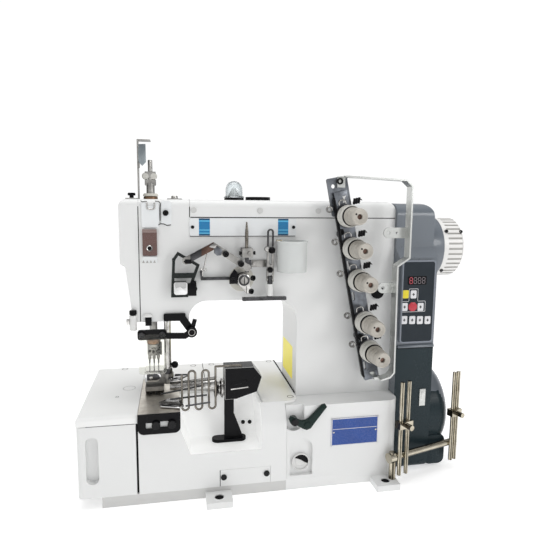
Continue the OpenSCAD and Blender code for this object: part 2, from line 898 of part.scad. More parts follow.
// Flat strip bent round the knobs, with two eyelet tabs
module tension_guard() {
    w = 14;
    t = 2;
    y = tension_plate_y - 17;
    x = column_right - 14;
    jog = 15;
    top = tension_z + 46;
    jog_z = arm_under + 54;
    foot_z = tension_z - 202;
    head_x = tension_x - 9;
    path = [[head_x, top], [x + jog - 8, top - 3], [x + jog, top - 10], [x + jog, jog_z], [x, jog_z - 10],
        [x + 1, foot_z + 9], [x - 4, foot_z + 3], [x - 16, foot_z]];
    color("#c8c8c2") {
        front_extrude(y - w / 2, y + w / 2) strip(path, t);
        front_extrude(y + w / 2 - t, y + w / 2) {
            eyelet_tab([x + jog, top - 66], 29);
            eyelet_tab([x + 1, top - 134], 20);
        }
        box([head_x - 1, y, top - t / 2], [head_x + 6, tension_plate_y, top + t / 2]);
        front_extrude(tension_plate_y - t, tension_plate_y) {
            translate([head_x - 4, top - 12]) square([10, 13]);
            translate([x - 22, foot_z + 1]) square([6, 3]);
        }
        box([x - 22, y, foot_z - t / 2], [x - 15, tension_plate_y, foot_z + t / 2 + 1]);
    }

    module eyelet_tab(p, l) {
        difference() {
            link(p - [l - 6, 0], p, 13);
            translate(p - [l - 6, 0]) circle(2);
            translate(p - [l - 16, 0]) circle(1.2);
            translate(p + [t / 2, -8]) square([9, 16]);
        }
    }
}

// Motor

module motor_housing() {
    upper_front = motor_front + 12;
    bottom = 4;
    top = arm_top - 2;
    r = 16;
    cavity = [column_right + 20, motor_right + motor_end_l - 8];
    color("#3d4853") difference() {
        union() {
            intersection() {
                side_extrude(column_right, motor_right) difference() {
                    polygon([[motor_front, bottom], [motor_front, panel_top + 3], [upper_front, panel_top + 15],
                        [upper_front, top], [motor_rear, top], [motor_rear, bottom]]);
                    corner_fill([upper_front, top], r, 1, -1);
                    corner_fill([motor_rear, top], r, -1, -1);
                    corner_fill([motor_front, bottom], 8, 1, 1);
                }
                front_extrude(0, motor_rear + 1) difference() {
                    translate([column_right, bottom]) square([motor_w, top - bottom]);
                    corner_fill([motor_right, top], r, -1, -1);
                    corner_fill([motor_right, bottom], 10, -1, 1);
                }
            }
            turned_x(motor_right - 20, shaft_y, main_shaft_z) round_end(motor_r, motor_end_l + 20, 18);
            turned_x(motor_right - 4, shaft_y, arm_shaft_z) polygon([[0, 0], [wheel_r + 2, 0], [wheel_r + 2, 4],
                [wheel_r - 3, 10], [wheel_r - 4, neck_l + 4], [0, neck_l + 4]]);
        }
        rod_x(column_right - 1, wheel_x, shaft_y, arm_shaft_z, shaft_r + 2);
        rod_x(column_right - 1, cavity[0] + 1, shaft_y, main_shaft_z, shaft_r + 2);
        rod_x(cavity[0], cavity[1], shaft_y, main_shaft_z, rotor_r + 1);
    }

    module round_end(radius, length, edge_r) {
        square([radius, length - edge_r]);
        square([radius - edge_r, length]);
        translate([radius - edge_r, length - edge_r]) intersection() {
            circle(edge_r);
            square(edge_r);
        }
    }
}

// Panel body with a raised bezel; its keys are printed on one sealed film
module control_panel() {
    x = column_right + 2;
    low = [x, panel_top - panel_h];
    high = [x + panel_w, panel_top];
    rim = 2;
    color("#4c4a5c") difference() {
        front_extrude(motor_front - panel_t, motor_front) round_rect(low, high, 4);
        front_extrude(motor_front - panel_t - 1, motor_front - panel_t + 0.6)
            round_rect(low + [rim, rim], high - [rim, rim], 3);
    }
}

module handwheel() {
    ridges = 36;
    hub = wheel_r - 6;
    ridge_x = 14;
    color("#eceae4") difference() {
        turned_x(wheel_x, shaft_y, arm_shaft_z) polygon([[shaft_r, 0], [wheel_r - 1, 0], [wheel_r, 1],
            [wheel_r, wheel_w - 3], [wheel_r - 3, wheel_w], [hub - 4, wheel_w], [hub - 6, wheel_w - 6],
            [shaft_r, wheel_w - 6]]);
        translate([wheel_x + ridge_x, shaft_y, arm_shaft_z]) for (i = [0:ridges - 1]) {
            rotate([i * 360 / ridges, 0, 0]) translate([0, wheel_r - 1, -1.3]) cube([wheel_w, 4, 2.6]);
        }
    }
}

module arm_shaft() {
    crank_x = needle_x + needle_bar_r + 4;
    color("silver") {
        rod_x(crank_x, wheel_x + wheel_w - 4, shaft_y, arm_shaft_z, shaft_r);
        rod_x(crank_x, crank_x + 8, shaft_y, arm_shaft_z, crank_r);
        rod_x(crank_x - 3, crank_x + 1, shaft_y, arm_shaft_z + crank_r - 5, 3);
        pulley(arm_shaft_z);
    }
}

module main_shaft() {
    color("silver") {
        rod_x(46, motor_right + motor_end_l - 12, shaft_y, main_shaft_z, shaft_r);
        rod_x(column_right + 24, motor_right + motor_end_l - 14, shaft_y, main_shaft_z, rotor_r);
        pulley(main_shaft_z);
    }
}

module pulley(z) {
    rod_x(belt_x - belt_w / 2 - 3, belt_x + belt_w / 2 + 3, shaft_y, z, pulley_r);
    for (x = [belt_x - belt_w / 2 - 3, belt_x + belt_w / 2 + 1]) rod_x(x, x + 2, shaft_y, z, pulley_r + 2);
}

// Sewing parts

module needle_bar() {
    eyelet_z = arm_top + 27;
    color("silver") {
        rod_z(clamp_z + 6, arm_top + 20, needle_x, shaft_y, needle_bar_r);
        rod_z(arm_top + 19, arm_top + 48, needle_x, shaft_y, 2.8);
        for (z = [eyelet_z, eyelet_z - 10]) {
            box([needle_x - 6.5, shaft_y - 3, z], [needle_x + 6.5, shaft_y + 3, z + 7]);
        }
    }
}

module needle_clamp() {
    color("#b8b2a4") difference() {
        union() {
            rod_z(clamp_z - 8, clamp_z + 6, needle_x, shaft_y, 8);
            rod_y(shaft_y - 12, shaft_y, needle_x, clamp_z, 2.5);
        }
        for (i = [-1:1]) rod_z(clamp_z - 9, clamp_z, needle_x + i * needle_gauge, shaft_y, 1 + fit);
    }
}

module needles() {
    tip = 8;
    color("silver") for (i = [-1:1]) translate([needle_x + i * needle_gauge, shaft_y, needle_tip]) {
        cylinder(h = tip, r1 = 0.15, r2 = 0.6);
        translate([0, 0, tip]) cylinder(h = clamp_z - 20 - needle_tip - tip, r = 0.6);
        translate([0, 0, clamp_z - 20 - needle_tip]) cylinder(h = 20, r = 1);
    }
}

module presser_bar() {
    color("silver") {
        rod_z(bed_top + 16, arm_under + 30, presser_x, shaft_y, presser_bar_r);
        rod_x(presser_x, presser_x + 9, shaft_y, bed_top + 31, 1.6);
    }
}

module presser_foot() {
    sole = 9;
    lift = 0.4;
    low = bed_top + lift;
    color("#a8a6a0") difference() {
        union() {
            box([needle_x - 11, shaft_y - 16, low], [needle_x + 12, shaft_y + 18, low + sole]);
            box([needle_x - 11, shaft_y - 4, low + sole - 1], [presser_x, shaft_y + 6, low + sole + 14]);
            rod_z(low + sole - 1, bed_top + 16, presser_x, shaft_y, 6);
            rod_z(bed_top + 16, bed_top + 22, presser_x, shaft_y, presser_bar_r + 2.5);
        }
        box([needle_x - 9, shaft_y - 2.5, low - 1], [needle_x + 9, shaft_y + 2.5, low + 30]);
        rod_z(bed_top + 16, bed_top + 40, presser_x, shaft_y, presser_bar_r);
        side_extrude(needle_x - 12, needle_x + 13) polygon([[shaft_y - 17, low - eps],
            [shaft_y - 17, low + 4], [shaft_y - 10, low - eps]]);
    }
}

// Feed dog with its bar on the bed's ledges
module feed_dog() {
    bar_z = deck_z - 20;
    teeth = 7;
    color("#9a9890") difference() {
        union() {
            box([presser_x - 1, shaft_y - 14, bar_z], [presser_x + 7, bed_d - 9 - wall, bar_z + 8]);
            box([needle_x - 7, shaft_y - 14, bar_z + 8], [presser_x + 7, shaft_y + 16, bar_z + 15]);
            for (x = feed_slots, i = [0:teeth - 1]) {
                feed_tooth(needle_x + x, shaft_y - 14 + i);
                feed_tooth(needle_x + x, shaft_y + 8 + i);
            }
        }
        box([needle_x - 9, shaft_y - 3.5, bar_z - 1], [needle_x + 9, shaft_y + 3.5, bar_z + 30]);
    }

    module feed_tooth(x, y) {
        pitch = 1;
        side_extrude(x - 1.1, x + 1.1) polygon([[y, bar_z + 14], [y + pitch, bar_z + 14],
            [y + pitch, bed_top - 2], [y, bed_top - 1.2]]);
    }
}

module looper() {
    top = deck_z - 24;
    color("silver") {
        rod_y(shaft_y - 28, shaft_y + 28, looper_x, looper_z, 4);
        rod_y(shaft_y - 8, shaft_y - 1, looper_x, looper_z, 9);
        front_extrude(shaft_y - 7, shaft_y - 2) {
            strip([[looper_x, looper_z], [looper_x + 5, top - 4]], 7);
            strip([[looper_x + 8, top - 4], [looper_x - 16, top]], 3);
        }
    }
}

// Eye guard

module guard_bracket() {
    t = 4;
    p = guard_pivot;
    color("#1c1e22") {
        front_extrude(arm_front - t, arm_front) {
            round_rect([head_right - 30, head_bottom + 1], [head_right - 4, head_bottom + 10], 2);
            strip([[head_right - 8, head_bottom + 4], p], 9);
            translate(p) circle(5);
        }
        rod_y(guard_y - 5, arm_front - 1, p.x, p.y, 3);
    }
}

module guard_bar() {
    t = 1.7;
    p = guard_pivot;
    left = [edge, p.y - 8];
    color("#1c1e22") difference() {
        union() {
            front_extrude(guard_y - t, guard_y + t) {
                round_rect(left, left + [34, 12], 3);
                strip([left + [30, 4], p - [8, 5], p], 7);
                strip([p, p + [4, 15]], 5);
            }
            rod_y(guard_y - 4, guard_y + t, p.x, p.y, 6);
        }
        rod_y(guard_y - 6, arm_front, p.x, p.y, 3 + fit);
    }
}

module guard_shield() {
    low = [edge + 1, guard_pivot.y - 50];
    color("#e8f0f4", 0.4) front_extrude(guard_y - 2.9, guard_y - 1.7)
        round_rect(low, [edge + 33, guard_pivot.y - 1], 4);
}

// Feed lever on the block's front
module feed_lever() {
    t = 4;
    y = block_front - 0.5;
    p = lever_pivot;
    color("#28352f") difference() {
        union() {
            front_extrude(y - t, y) {
                strip([p, p + [17, -11], p + [40, 13]], 6);
                translate(p + [40, 13]) circle(3.4);
            }
            rod_y(y - t, block_front + lever_recess_d - gap, p.x, p.y, lever_hub_r);
        }
        rod_y(y - t - 1, block_front + lever_recess_d, p.x, p.y, lever_pin_r + fit);
    }
}

// Binder

module binder_bracket() {
    y = binder_y + 8;
    t = 4;
    color("#1c1e22") {
        plan_extrude(shelf_z, shelf_z + t) link([binder_x - 8, y + 3], [binder_x + 20, y + 3], 15);
        front_extrude(y, y + t) polygon([[binder_x, shelf_z + t - 1], [binder_x + 24, shelf_z + t - 1],
            [binder_x + 12, shelf_z + 36], [binder_x + 12, bed_top + 3], [binder_x, bed_top + 3]]);
    }
}

module binder_block() {
    z = bed_top + 3;
    color("#1c1e22") {
        front_extrude(binder_y, binder_y + binder_d) polygon([[binder_x, z], [binder_x + 14, z],
            [binder_x + 40, z + 8], [binder_x + 46, z + 27], [binder_x + 36, z + 40], [binder_x, z + 40]]);
        front_extrude(binder_y - 1.2, binder_y + 1)
            translate([binder_x + 8, z + 18]) rotate(8) square([20, 3.5]);
    }
}

// Tapering tube of folded sheet that wraps the tape, open along its back
module binder_scroll() {
    wide = 10;
    narrow = 5.6;
    sheet = 1;
    x0 = presser_x + 2;
    x1 = binder_x - 8;
    color("silver") {
        difference() {
            turned_x(x0, scroll_y, scroll_z) polygon([[narrow - sheet, 0], [narrow, 0],
                [wide, x1 - x0], [wide - sheet, x1 - x0]]);
            box([x0 - 1, scroll_y, scroll_z - 1.5], [x1 + 1, scroll_y + wide + 1, scroll_z + 1.5]);
        }
        box([x1 - 3, binder_y + binder_d - 6, scroll_z + wide - 2.5], [binder_x, scroll_y, scroll_z + wide]);
    }
}

// Round wire bent up and down in front of the scroll, with its tail on the block
module tape_wire() {
    r = 1.3;
    y = binder_y + 3;
    first = scoop_left + 2.3;
    pitch = (binder_x - 11.2 - first) / 5;
    low = bed_top - 4;
    high = bed_top + 37;
    tail_z = bed_top + 3 + 40;
    color("#b5b0a2") {
        for (i = [0:5]) rod_z(low, i == 5 ? tail_z + 2 : high, first + i * pitch, y, r);
        for (i = [0, 2, 4]) bend(first + (i + 0.5) * pitch, low, 180);
        for (i = [1, 3]) bend(first + (i + 0.5) * pitch, high, 0);
        translate([first + 5 * pitch, y, tail_z + 2]) sphere(r);
        rod_x(first + 5 * pitch, binder_x + 20, y, tail_z + 2, r);
        translate([binder_x + 20, y, tail_z + 2]) sphere(r);
        rod_z(tail_z, tail_z + 2, binder_x + 20, y, r);
    }

    module bend(x, z, start) {
        translate([x, y, z]) rotate([90, 0, 0]) rotate([0, 0, start])
            rotate_extrude(angle = 180) translate([pitch / 2, 0]) circle(r);
    }
}

// Tape guide, drawn along its cross rod

module tape_frame() {
    translate([tape_post.x, tape_post.y, 0]) rotate([0, 0, tape_turn]) children();
}

tape_bar_y = 1 - tape_rod_r - tape_bar_r;

// Post on the foot, cross rod and the two pairs of upright bars
module tape_rails() {
    low = tape_z - 22;
    color("#c9c0a4") tape_frame() {
        rod_z(foot_t, tape_z + 7, 0, 0, 4.4);
        rod_x(0, tape_rod_l, 0, tape_z, tape_rod_r);
        rod_x(-6.5, 2, 0, tape_z, 6.5);
        for (pair = tape_pairs, x = pair) rod_z(low, low + tape_bar_l, x, tape_bar_y, tape_bar_r);
    }
}

// Flat stop that clamps the pair of bars, with its thumb screw
module tape_stop(pair) {
    t = 9;
    mid = (pair[0] + pair[1]) / 2;
    half = (pair[1] - pair[0]) / 2 + 5;
    front = tape_bar_y - 14;
    color("#c9c0a4") tape_frame() difference() {
        union() {
            box([mid - half, tape_bar_y - 4.5, stop_z], [mid + half, tape_bar_y + 5, stop_z + t]);
            rod_y(front, tape_bar_y - 4, mid, stop_z + t / 2, 3.4);
        }
        for (x = pair) rod_z(stop_z - 1, stop_z + t + 1, x, tape_bar_y, tape_bar_r + fit);
    }
}

// Fasteners

module machine_screws() {
    color("#303236") {
        for (x = access_screw_x) screw_y(x, access_screw_z, 0, 2, 3.6, skin + 1);
        for (x = cover_screw_x) screw_y(x, cover_screw_z, arm_front, 2, 3.4, skin);
        for (x = strip_screw_x) screw_y(x, strip_screw_z, arm_front - 1.5, 1.2, 2, 1.5);
        for (x = guide_screw_x) screw_y(x, guide_screw_z, -2.5, 2, 4.8, 2.5, 4);
        screw_y(lever_pivot.x, lever_pivot.y, block_front - 5, lever_pin_r, 4.4, 13, 1.8);
    }

    module screw_y(x, z, y, shank_r, head_r, shank_l, head_h = 1.6) {
        rod_y(y - head_h, y, x, z, head_r);
        rod_y(y - 0.5, y + shank_l, x, z, shank_r);
    }
}

module placed() {
    translate([-origin_x, -origin_y, 0]) children();
}

placed() bed_frame();
placed() front_cover();
placed() access_plate();
placed() front_thread_guide();
placed() needle_plate();
placed() throat_plate();
placed() slide_plate();
placed() left_top_plate();
placed() cover_hinge_pin();
placed() arm_frame();
placed() face_cover();
placed() top_cover();
placed() name_strip();
placed() nameplate();
placed() oil_gauge();
placed() oil_dome();
placed() top_caps();
placed() take_up_guard();
placed() head_thread_plate();
placed() head_tension_plate();
placed() loop_guard();
placed() guide_arm();
placed() pin_guide();
placed() slot_guide();
placed() oil_cup();
placed() tension_bracket();
placed() tension_posts();
placed() tension_discs();
placed() tension_guard();
placed() motor_housing();
placed() control_panel();
placed() guard_bracket();
placed() binder_bracket();
placed() binder_block();
placed() binder_scroll();
placed() tape_wire();
placed() tape_rails();
placed() machine_screws();
placed() tape_stop(tape_pairs[0]);  // tape_stop_1
placed() tape_stop(tape_pairs[1]);  // tape_stop_2
placed() left_cover();
placed() handwheel();
placed() arm_shaft();
placed() main_shaft();
placed() needle_bar();
placed() needle_clamp();
placed() needles();
placed() presser_bar();
placed() presser_foot();
placed() feed_dog();
placed() looper();
placed() guard_bar();
placed() guard_shield();
placed() take_up_lever();
placed() feed_lever();
placed() tension_knob(0);  // tension_knob_1
placed() tension_knob(1);  // tension_knob_2
placed() tension_knob(2);  // tension_knob_3
placed() tension_knob(3);  // tension_knob_4
placed() tension_knob(4);  // tension_knob_5
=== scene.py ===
import json
import math

import bmesh
import bpy
from mathutils import Matrix, Vector


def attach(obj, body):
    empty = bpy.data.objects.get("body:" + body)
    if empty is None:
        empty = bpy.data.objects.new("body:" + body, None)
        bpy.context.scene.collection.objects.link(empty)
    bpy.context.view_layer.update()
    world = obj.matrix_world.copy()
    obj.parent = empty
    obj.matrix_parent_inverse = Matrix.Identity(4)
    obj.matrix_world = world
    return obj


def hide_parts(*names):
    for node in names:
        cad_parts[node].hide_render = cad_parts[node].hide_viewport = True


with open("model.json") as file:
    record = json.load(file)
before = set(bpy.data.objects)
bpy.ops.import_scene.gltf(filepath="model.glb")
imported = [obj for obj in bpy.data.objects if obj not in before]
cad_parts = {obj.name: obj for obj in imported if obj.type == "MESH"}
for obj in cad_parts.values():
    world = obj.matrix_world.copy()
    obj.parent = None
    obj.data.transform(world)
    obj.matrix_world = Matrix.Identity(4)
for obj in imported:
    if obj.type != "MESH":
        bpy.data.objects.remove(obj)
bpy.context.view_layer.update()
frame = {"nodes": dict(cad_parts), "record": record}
nodeBody = {node: body for body, nodes in frame["record"]["behaviour"]["bodies"].items() for node in nodes}
root = "machine"
benchMiddle = (199, 89)  # where the frame's origin lies on the bench
print("frame loaded:", len(frame["nodes"]), "nodes")


def mm(x, y, z):  # bench coordinates: x from the cover gap, y from the bed's front, z from the table
    return Vector(((x - benchMiddle[0]) / 1000, (y - benchMiddle[1]) / 1000, z / 1000))


# node helpers

def link(tree, a, b):
    tree.links.new(a, b)


def feed(tree, value, socket):  # a number or colour is set, an output is linked
    if isinstance(value, (int, float, tuple)):
        socket.default_value = value
    else:
        link(tree, value, socket)


def addNode(tree, kind, **values):
    node = tree.nodes.new(kind)
    for key, value in values.items():
        setattr(node, key, value)
    return node


def joinAll(tree, joins):  # node and output, node and input
    for giver, output, taker, socket in joins:
        link(tree, giver.outputs[output], taker.inputs[socket])


# camera and light

viewSettings = {
    "eye": (46.496, -563.249, 350.855),
    "yaw": 10.894,
    "pitch": 7.307,
    "roll": 0.528,
    "lens": 33.122,
    "sensor": 36,
    "near": 0.01,
}


def placeCamera(settings):
    yaw, pitch, roll = (math.radians(settings[k]) for k in ("yaw", "pitch", "roll"))
    forward = Vector((math.sin(yaw) * math.cos(pitch), math.cos(yaw) * math.cos(pitch), -math.sin(pitch)))
    right = Vector((math.cos(yaw), -math.sin(yaw), 0))
    up = right.cross(forward)
    tiltedRight = math.cos(roll) * right + math.sin(roll) * up
    tiltedUp = math.cos(roll) * up - math.sin(roll) * right
    data = bpy.data.cameras.new("photoCamera")
    data.lens = settings["lens"]
    data.sensor_width = settings["sensor"]
    data.clip_start = settings["near"]
    camera = bpy.data.objects.new("photoCamera", data)
    bpy.context.collection.objects.link(camera)
    matrix = Matrix((tiltedRight, tiltedUp, -forward)).transposed().to_4x4()
    matrix.translation = mm(*settings["eye"])
    camera.matrix_world = matrix
    bpy.context.scene.camera = camera


studioLights = [  # name, place, target, size, watts
    ("keyLight", (-450, -1000, 620), (150, 60, 160), 500, 0.35),
    ("fillLight", (900, -800, 600), (250, 60, 180), 400, 2.2),
    ("topLight", (150, 60, 1300), (150, 80, 100), 900, 6.0),
    ("backLight", (150, 1200, 800), (150, 100, 200), 900, 0.3),
]
skyBands = [  # height of the direction from 0 straight down to 1 straight up, brightness
    (0.0, 1.0),
    (0.68, 1.0),
    (0.74, 0.42),
    (0.86, 0.36),
    (0.92, 0.95),
    (1.0, 1.0),
]
roomDepth = {  # the room is dimmer in front
    "From Min": -0.7,
    "From Max": 0.65,
    "To Min": 0.62,
    "To Max": 1.04,
}


def placeLights():
    for name, place, target, size, watts in studioLights:
        data = bpy.data.lights.new(name, "AREA")
        data.shape = "DISK"
        data.size = size / 1000
        data.energy = watts
        lamp = bpy.data.objects.new(name, data)
        lamp.location = mm(*place)
        lamp.rotation_euler = (mm(*target) - mm(*place)).to_track_quat("-Z", "Y").to_euler()
        bpy.context.collection.objects.link(lamp)


def makeRoom():  # white all round, with a darker band overhead that gives the steel something to mirror
    world = bpy.data.worlds.new("softRoom")
    world.use_nodes = True
    tree = world.node_tree
    background = tree.nodes["Background"]
    direction = addNode(tree, "ShaderNodeTexCoord")
    parts = addNode(tree, "ShaderNodeSeparateXYZ")
    height = addNode(tree, "ShaderNodeMapRange")
    height.inputs["From Min"].default_value = -1.0
    bands = addNode(tree, "ShaderNodeValToRGB")
    ramp = bands.color_ramp
    while len(ramp.elements) < len(skyBands):
        ramp.elements.new(0.5)
    for element, (place, level) in zip(ramp.elements, skyBands):
        element.position = place
        element.color = (level, level, level, 1)
    front = addNode(tree, "ShaderNodeMapRange")
    for label, value in roomDepth.items():
        front.inputs[label].default_value = value
    joinAll(tree, [
        (direction, "Generated", parts, "Vector"),
        (parts, "Z", height, "Value"),
        (parts, "Y", front, "Value"),
        (height, "Result", bands, "Fac"),
        (bands, "Color", background, "Color"),
        (front, "Result", background, "Strength"),
    ])
    bpy.context.scene.world = world
    bpy.context.scene.view_settings.view_transform = "Standard"


placeCamera(viewSettings)
placeLights()
makeRoom()
print("camera and lights placed")


# shader groups

def newGroup(name, inputs):
    group = bpy.data.node_groups.new(name, "ShaderNodeTree")
    for label, kind, value in inputs:
        socket = group.interface.new_socket(name=label, in_out="INPUT", socket_type="NodeSocket" + kind)
        socket.default_value = value
    for label, kind in (("Color", "Color"), ("Roughness", "Float"), ("Height", "Float")):
        group.interface.new_socket(name=label, in_out="OUTPUT", socket_type="NodeSocket" + kind)
    return group, group.nodes.new("NodeGroupInput").outputs


def closeGroup(group, color, rough, height):
    sink = group.nodes.new("NodeGroupOutput")
    link(group, color, sink.inputs["Color"])
    link(group, rough, sink.inputs["Roughness"])
    link(group, height, sink.inputs["Height"])
    return group


def noiseOf(tree, vector, scale, detail=3.0, roughness=0.5):
    noise = addNode(tree, "ShaderNodeTexNoise")
    link(tree, vector, noise.inputs["Vector"])
    feed(tree, scale, noise.inputs["Scale"])
    noise.inputs["Detail"].default_value = detail
    noise.inputs["Roughness"].default_value = roughness
    return noise.outputs["Fac"]


def mathOf(tree, operation, a, b, clamp=False):
    node = addNode(tree, "ShaderNodeMath", operation=operation, use_clamp=clamp)
    feed(tree, a, node.inputs[0])
    feed(tree, b, node.inputs[1])
    return node.outputs[0]


def spread(tree, value, low, high, outLow, outHigh):
    node = addNode(tree, "ShaderNodeMapRange")
    link(tree, value, node.inputs["Value"])
    for label, number in (("From Min", low), ("From Max", high), ("To Min", outLow), ("To Max", outHigh)):
        node.inputs[label].default_value = number
    return node.outputs["Result"]


def blendColors(tree, factor, a, b):
    node = addNode(tree, "ShaderNodeMix", data_type="RGBA")
    for index, value in ((0, factor), (6, a), (7, b)):  # the sockets it has for colours
        feed(tree, value, node.inputs[index])
    return node.outputs[2]


def makeEnamelGroup():  # sprayed paint: soft mottling and orange peel
    group, source = newGroup("sprayedEnamel", [
        ("Vector", "Vector", (0, 0, 0)),
        ("Paint", "Color", (1, 1, 1, 1)),
        ("Shade", "Color", (0.9, 0.9, 0.9, 1)),
        ("Gloss", "Float", 0.35),
        ("Peel", "Float", 900.0),
        ("Mottle", "Float", 0.5),
    ])
    vector = source["Vector"]
    cloud = noiseOf(group, vector, 9.0, 4.0, 0.6)
    fleck = noiseOf(group, vector, 260.0, 2.0)
    amount = mathOf(group, "MULTIPLY", spread(group, cloud, 0.35, 0.7, 0.0, 1.0), source["Mottle"])
    color = blendColors(group, amount, source["Paint"], source["Shade"])
    rough = mathOf(group, "ADD", source["Gloss"], spread(group, fleck, 0.3, 0.7, -0.02, 0.03))
    rough = mathOf(group, "ADD", rough, spread(group, cloud, 0.3, 0.7, -0.03, 0.04), True)
    peel = noiseOf(group, vector, source["Peel"], 2.0)
    return closeGroup(group, color, rough, peel)


def makeSteelGroup():  # ground or drawn metal: fine streaks along one direction with smudges
    group, source = newGroup("drawnSteel", [
        ("Vector", "Vector", (0, 0, 0)),
        ("Metal", "Color", (0.7, 0.7, 0.7, 1)),
        ("Dark", "Color", (0.4, 0.4, 0.4, 1)),
        ("Polish", "Float", 0.2),
        ("Streak", "Float", 0.12),
        ("Grain", "Vector", (60, 60, 2400)),
    ])
    vector = source["Vector"]
    stretched = addNode(group, "ShaderNodeVectorMath", operation="MULTIPLY")
    link(group, vector, stretched.inputs[0])
    link(group, source["Grain"], stretched.inputs[1])
    streaks = noiseOf(group, stretched.outputs[0], 1.0, 2.0)
    smudge = noiseOf(group, vector, 75.0, 3.0, 0.6)
    dark = mathOf(group, "MULTIPLY", spread(group, smudge, 0.40, 0.66, 0.0, 1.0), 0.75)
    color = blendColors(group, dark, source["Metal"], source["Dark"])
    rough = mathOf(group, "MULTIPLY", streaks, source["Streak"])
    rough = mathOf(group, "ADD", rough, source["Polish"])
    rough = mathOf(group, "ADD", rough, spread(group, smudge, 0.3, 0.8, -0.02, 0.1), True)
    return closeGroup(group, color, rough, streaks)


def makePlasticGroup():  # moulded plastic: fine grain and faint flow marks
    group, source = newGroup("mouldedPlastic", [
        ("Vector", "Vector", (0, 0, 0)),
        ("Resin", "Color", (0.5, 0.5, 0.5, 1)),
        ("Flow", "Color", (0.4, 0.4, 0.4, 1)),
        ("Gloss", "Float", 0.4),
        ("Grain", "Float", 1500.0),
    ])
    vector = source["Vector"]
    flow = noiseOf(group, vector, 45.0, 3.0)
    grain = noiseOf(group, vector, source["Grain"], 1.0)
    color = blendColors(group, spread(group, flow, 0.35, 0.7, 0.0, 0.8), source["Resin"],
                        source["Flow"])
    rough = mathOf(group, "ADD", source["Gloss"], spread(group, grain, 0.3, 0.7, -0.05, 0.07), True)
    return closeGroup(group, color, rough, grain)


enamelGroup = makeEnamelGroup()
steelGroup = makeSteelGroup()
plasticGroup = makePlasticGroup()


def rgb(value):
    return (value[0], value[1], value[2], 1.0)


edgeReflectionBlend = 0.42  # how far in from an outline the painted dark reflection reaches


def makeFinish(name, group, values, bump=0.02, distance=0.0004, edge=None, **shader):
    material = bpy.data.materials.new(name)
    material.use_nodes = True
    tree = material.node_tree
    surface = tree.nodes["Principled BSDF"]
    place = addNode(tree, "ShaderNodeTexCoord")
    effect = addNode(tree, "ShaderNodeGroup", node_tree=group)
    relief = addNode(tree, "ShaderNodeBump")
    relief.inputs["Strength"].default_value = bump
    relief.inputs["Distance"].default_value = distance
    for label, value in values.items():
        effect.inputs[label].default_value = value
    color = effect.outputs["Color"]
    if edge:  # painted reflection: darker where the surface turns away, as polished metal is in a dim room
        turn = addNode(tree, "ShaderNodeLayerWeight")
        turn.inputs["Blend"].default_value = edgeReflectionBlend
        color = blendColors(tree, turn.outputs["Facing"], color, rgb(edge))
    link(tree, color, surface.inputs["Base Color"])
    joinAll(tree, [
        (place, "Object", effect, "Vector"),
        (effect, "Roughness", surface, "Roughness"),
        (effect, "Height", relief, "Height"),
        (relief, "Normal", surface, "Normal"),
    ])
    for label, value in shader.items():
        surface.inputs[label.replace("_", " ")].default_value = value
    return material


def enamel(name, paint, shade, gloss=0.32, mottle=0.4, peel=400.0, bump=0.0005, **shader):
    return makeFinish(name, enamelGroup, {"Paint": rgb(paint), "Shade": rgb(shade), "Gloss": gloss,
                                          "Mottle": mottle, "Peel": peel}, bump, **shader)


# edge: strength of the painted dark reflection at the outlines
def steel(name, metal, dark, polish, streak, grain, bump=0.005, edge=0.22, **shader):
    return makeFinish(name, steelGroup, {"Metal": rgb(metal), "Dark": rgb(dark), "Polish": polish,
                                         "Streak": streak, "Grain": grain}, bump, Metallic=1.0,
                      edge=[edge * level for level in dark] if edge else None, **shader)


def plastic(name, resin, flow, gloss=0.35, grain=1500.0, bump=0.01, **shader):
    return makeFinish(name, plasticGroup, {"Resin": rgb(resin), "Flow": rgb(flow), "Gloss": gloss,
                                           "Grain": grain}, bump, **shader)


castWhite = enamel("castWhite", (0.785, 0.79, 0.785), (0.755, 0.76, 0.755), 0.42, Coat_Weight=0.05)
paintedEdgeHighlight = enamel("paintedEdgeHighlight", (0.36, 0.36, 0.35), (0.28, 0.28, 0.27), 0.3)  # painted highlight on the black block's edges
# darker grey enamel: painted shade on the pan's front under the cover; also used on the top screws and the
# cover mark
castShade = enamel("castShade", (0.60, 0.60, 0.59), (0.56, 0.56, 0.55), 0.45)
coverWhite = enamel("coverWhite", (0.785, 0.79, 0.785), (0.755, 0.76, 0.755), 0.42, Coat_Weight=0.05)
# painted light: the left top plate is a paler copy of the cover white, as if more light falls on it from
# above
topPaintedLight = enamel("topPaintedLight", (0.88, 0.885, 0.875), (0.86, 0.865, 0.855), 0.4, Coat_Weight=0.05)
# painted light: the scoop is paler than the cover white and glows faintly, standing in for light bounced
# into the recess
scoopPaintedLight = enamel("scoopPaintedLight", (0.85, 0.855, 0.85), (0.83, 0.835, 0.83), 0.45,
                    Emission_Color=(1.0, 1.0, 0.99, 1.0), Emission_Strength=0.24)
bedWhite = enamel("bedWhite", (0.86, 0.86, 0.845), (0.83, 0.83, 0.815), 0.36, Coat_Weight=0.08)
stripWhite = plastic("stripWhite", (0.80, 0.82, 0.83), (0.77, 0.79, 0.80), 0.18)
motorGrey = enamel("motorGrey", (0.145, 0.165, 0.190), (0.125, 0.143, 0.166), 0.30, 0.8, 500.0, 0.001,
                   Coat_Weight=0.25)
motorLow = enamel("motorLow", (0.020, 0.032, 0.038), (0.016, 0.027, 0.032), 0.26, 0.8, 500.0, 0.001,
                  Specular_IOR_Level=0.16)
panelFilm = plastic("panelFilm", (0.017, 0.024, 0.031), (0.024, 0.031, 0.039), 0.34, Specular_IOR_Level=0.2)
panelRim = plastic("panelRim", (0.20, 0.22, 0.26), (0.17, 0.19, 0.22), 0.2)
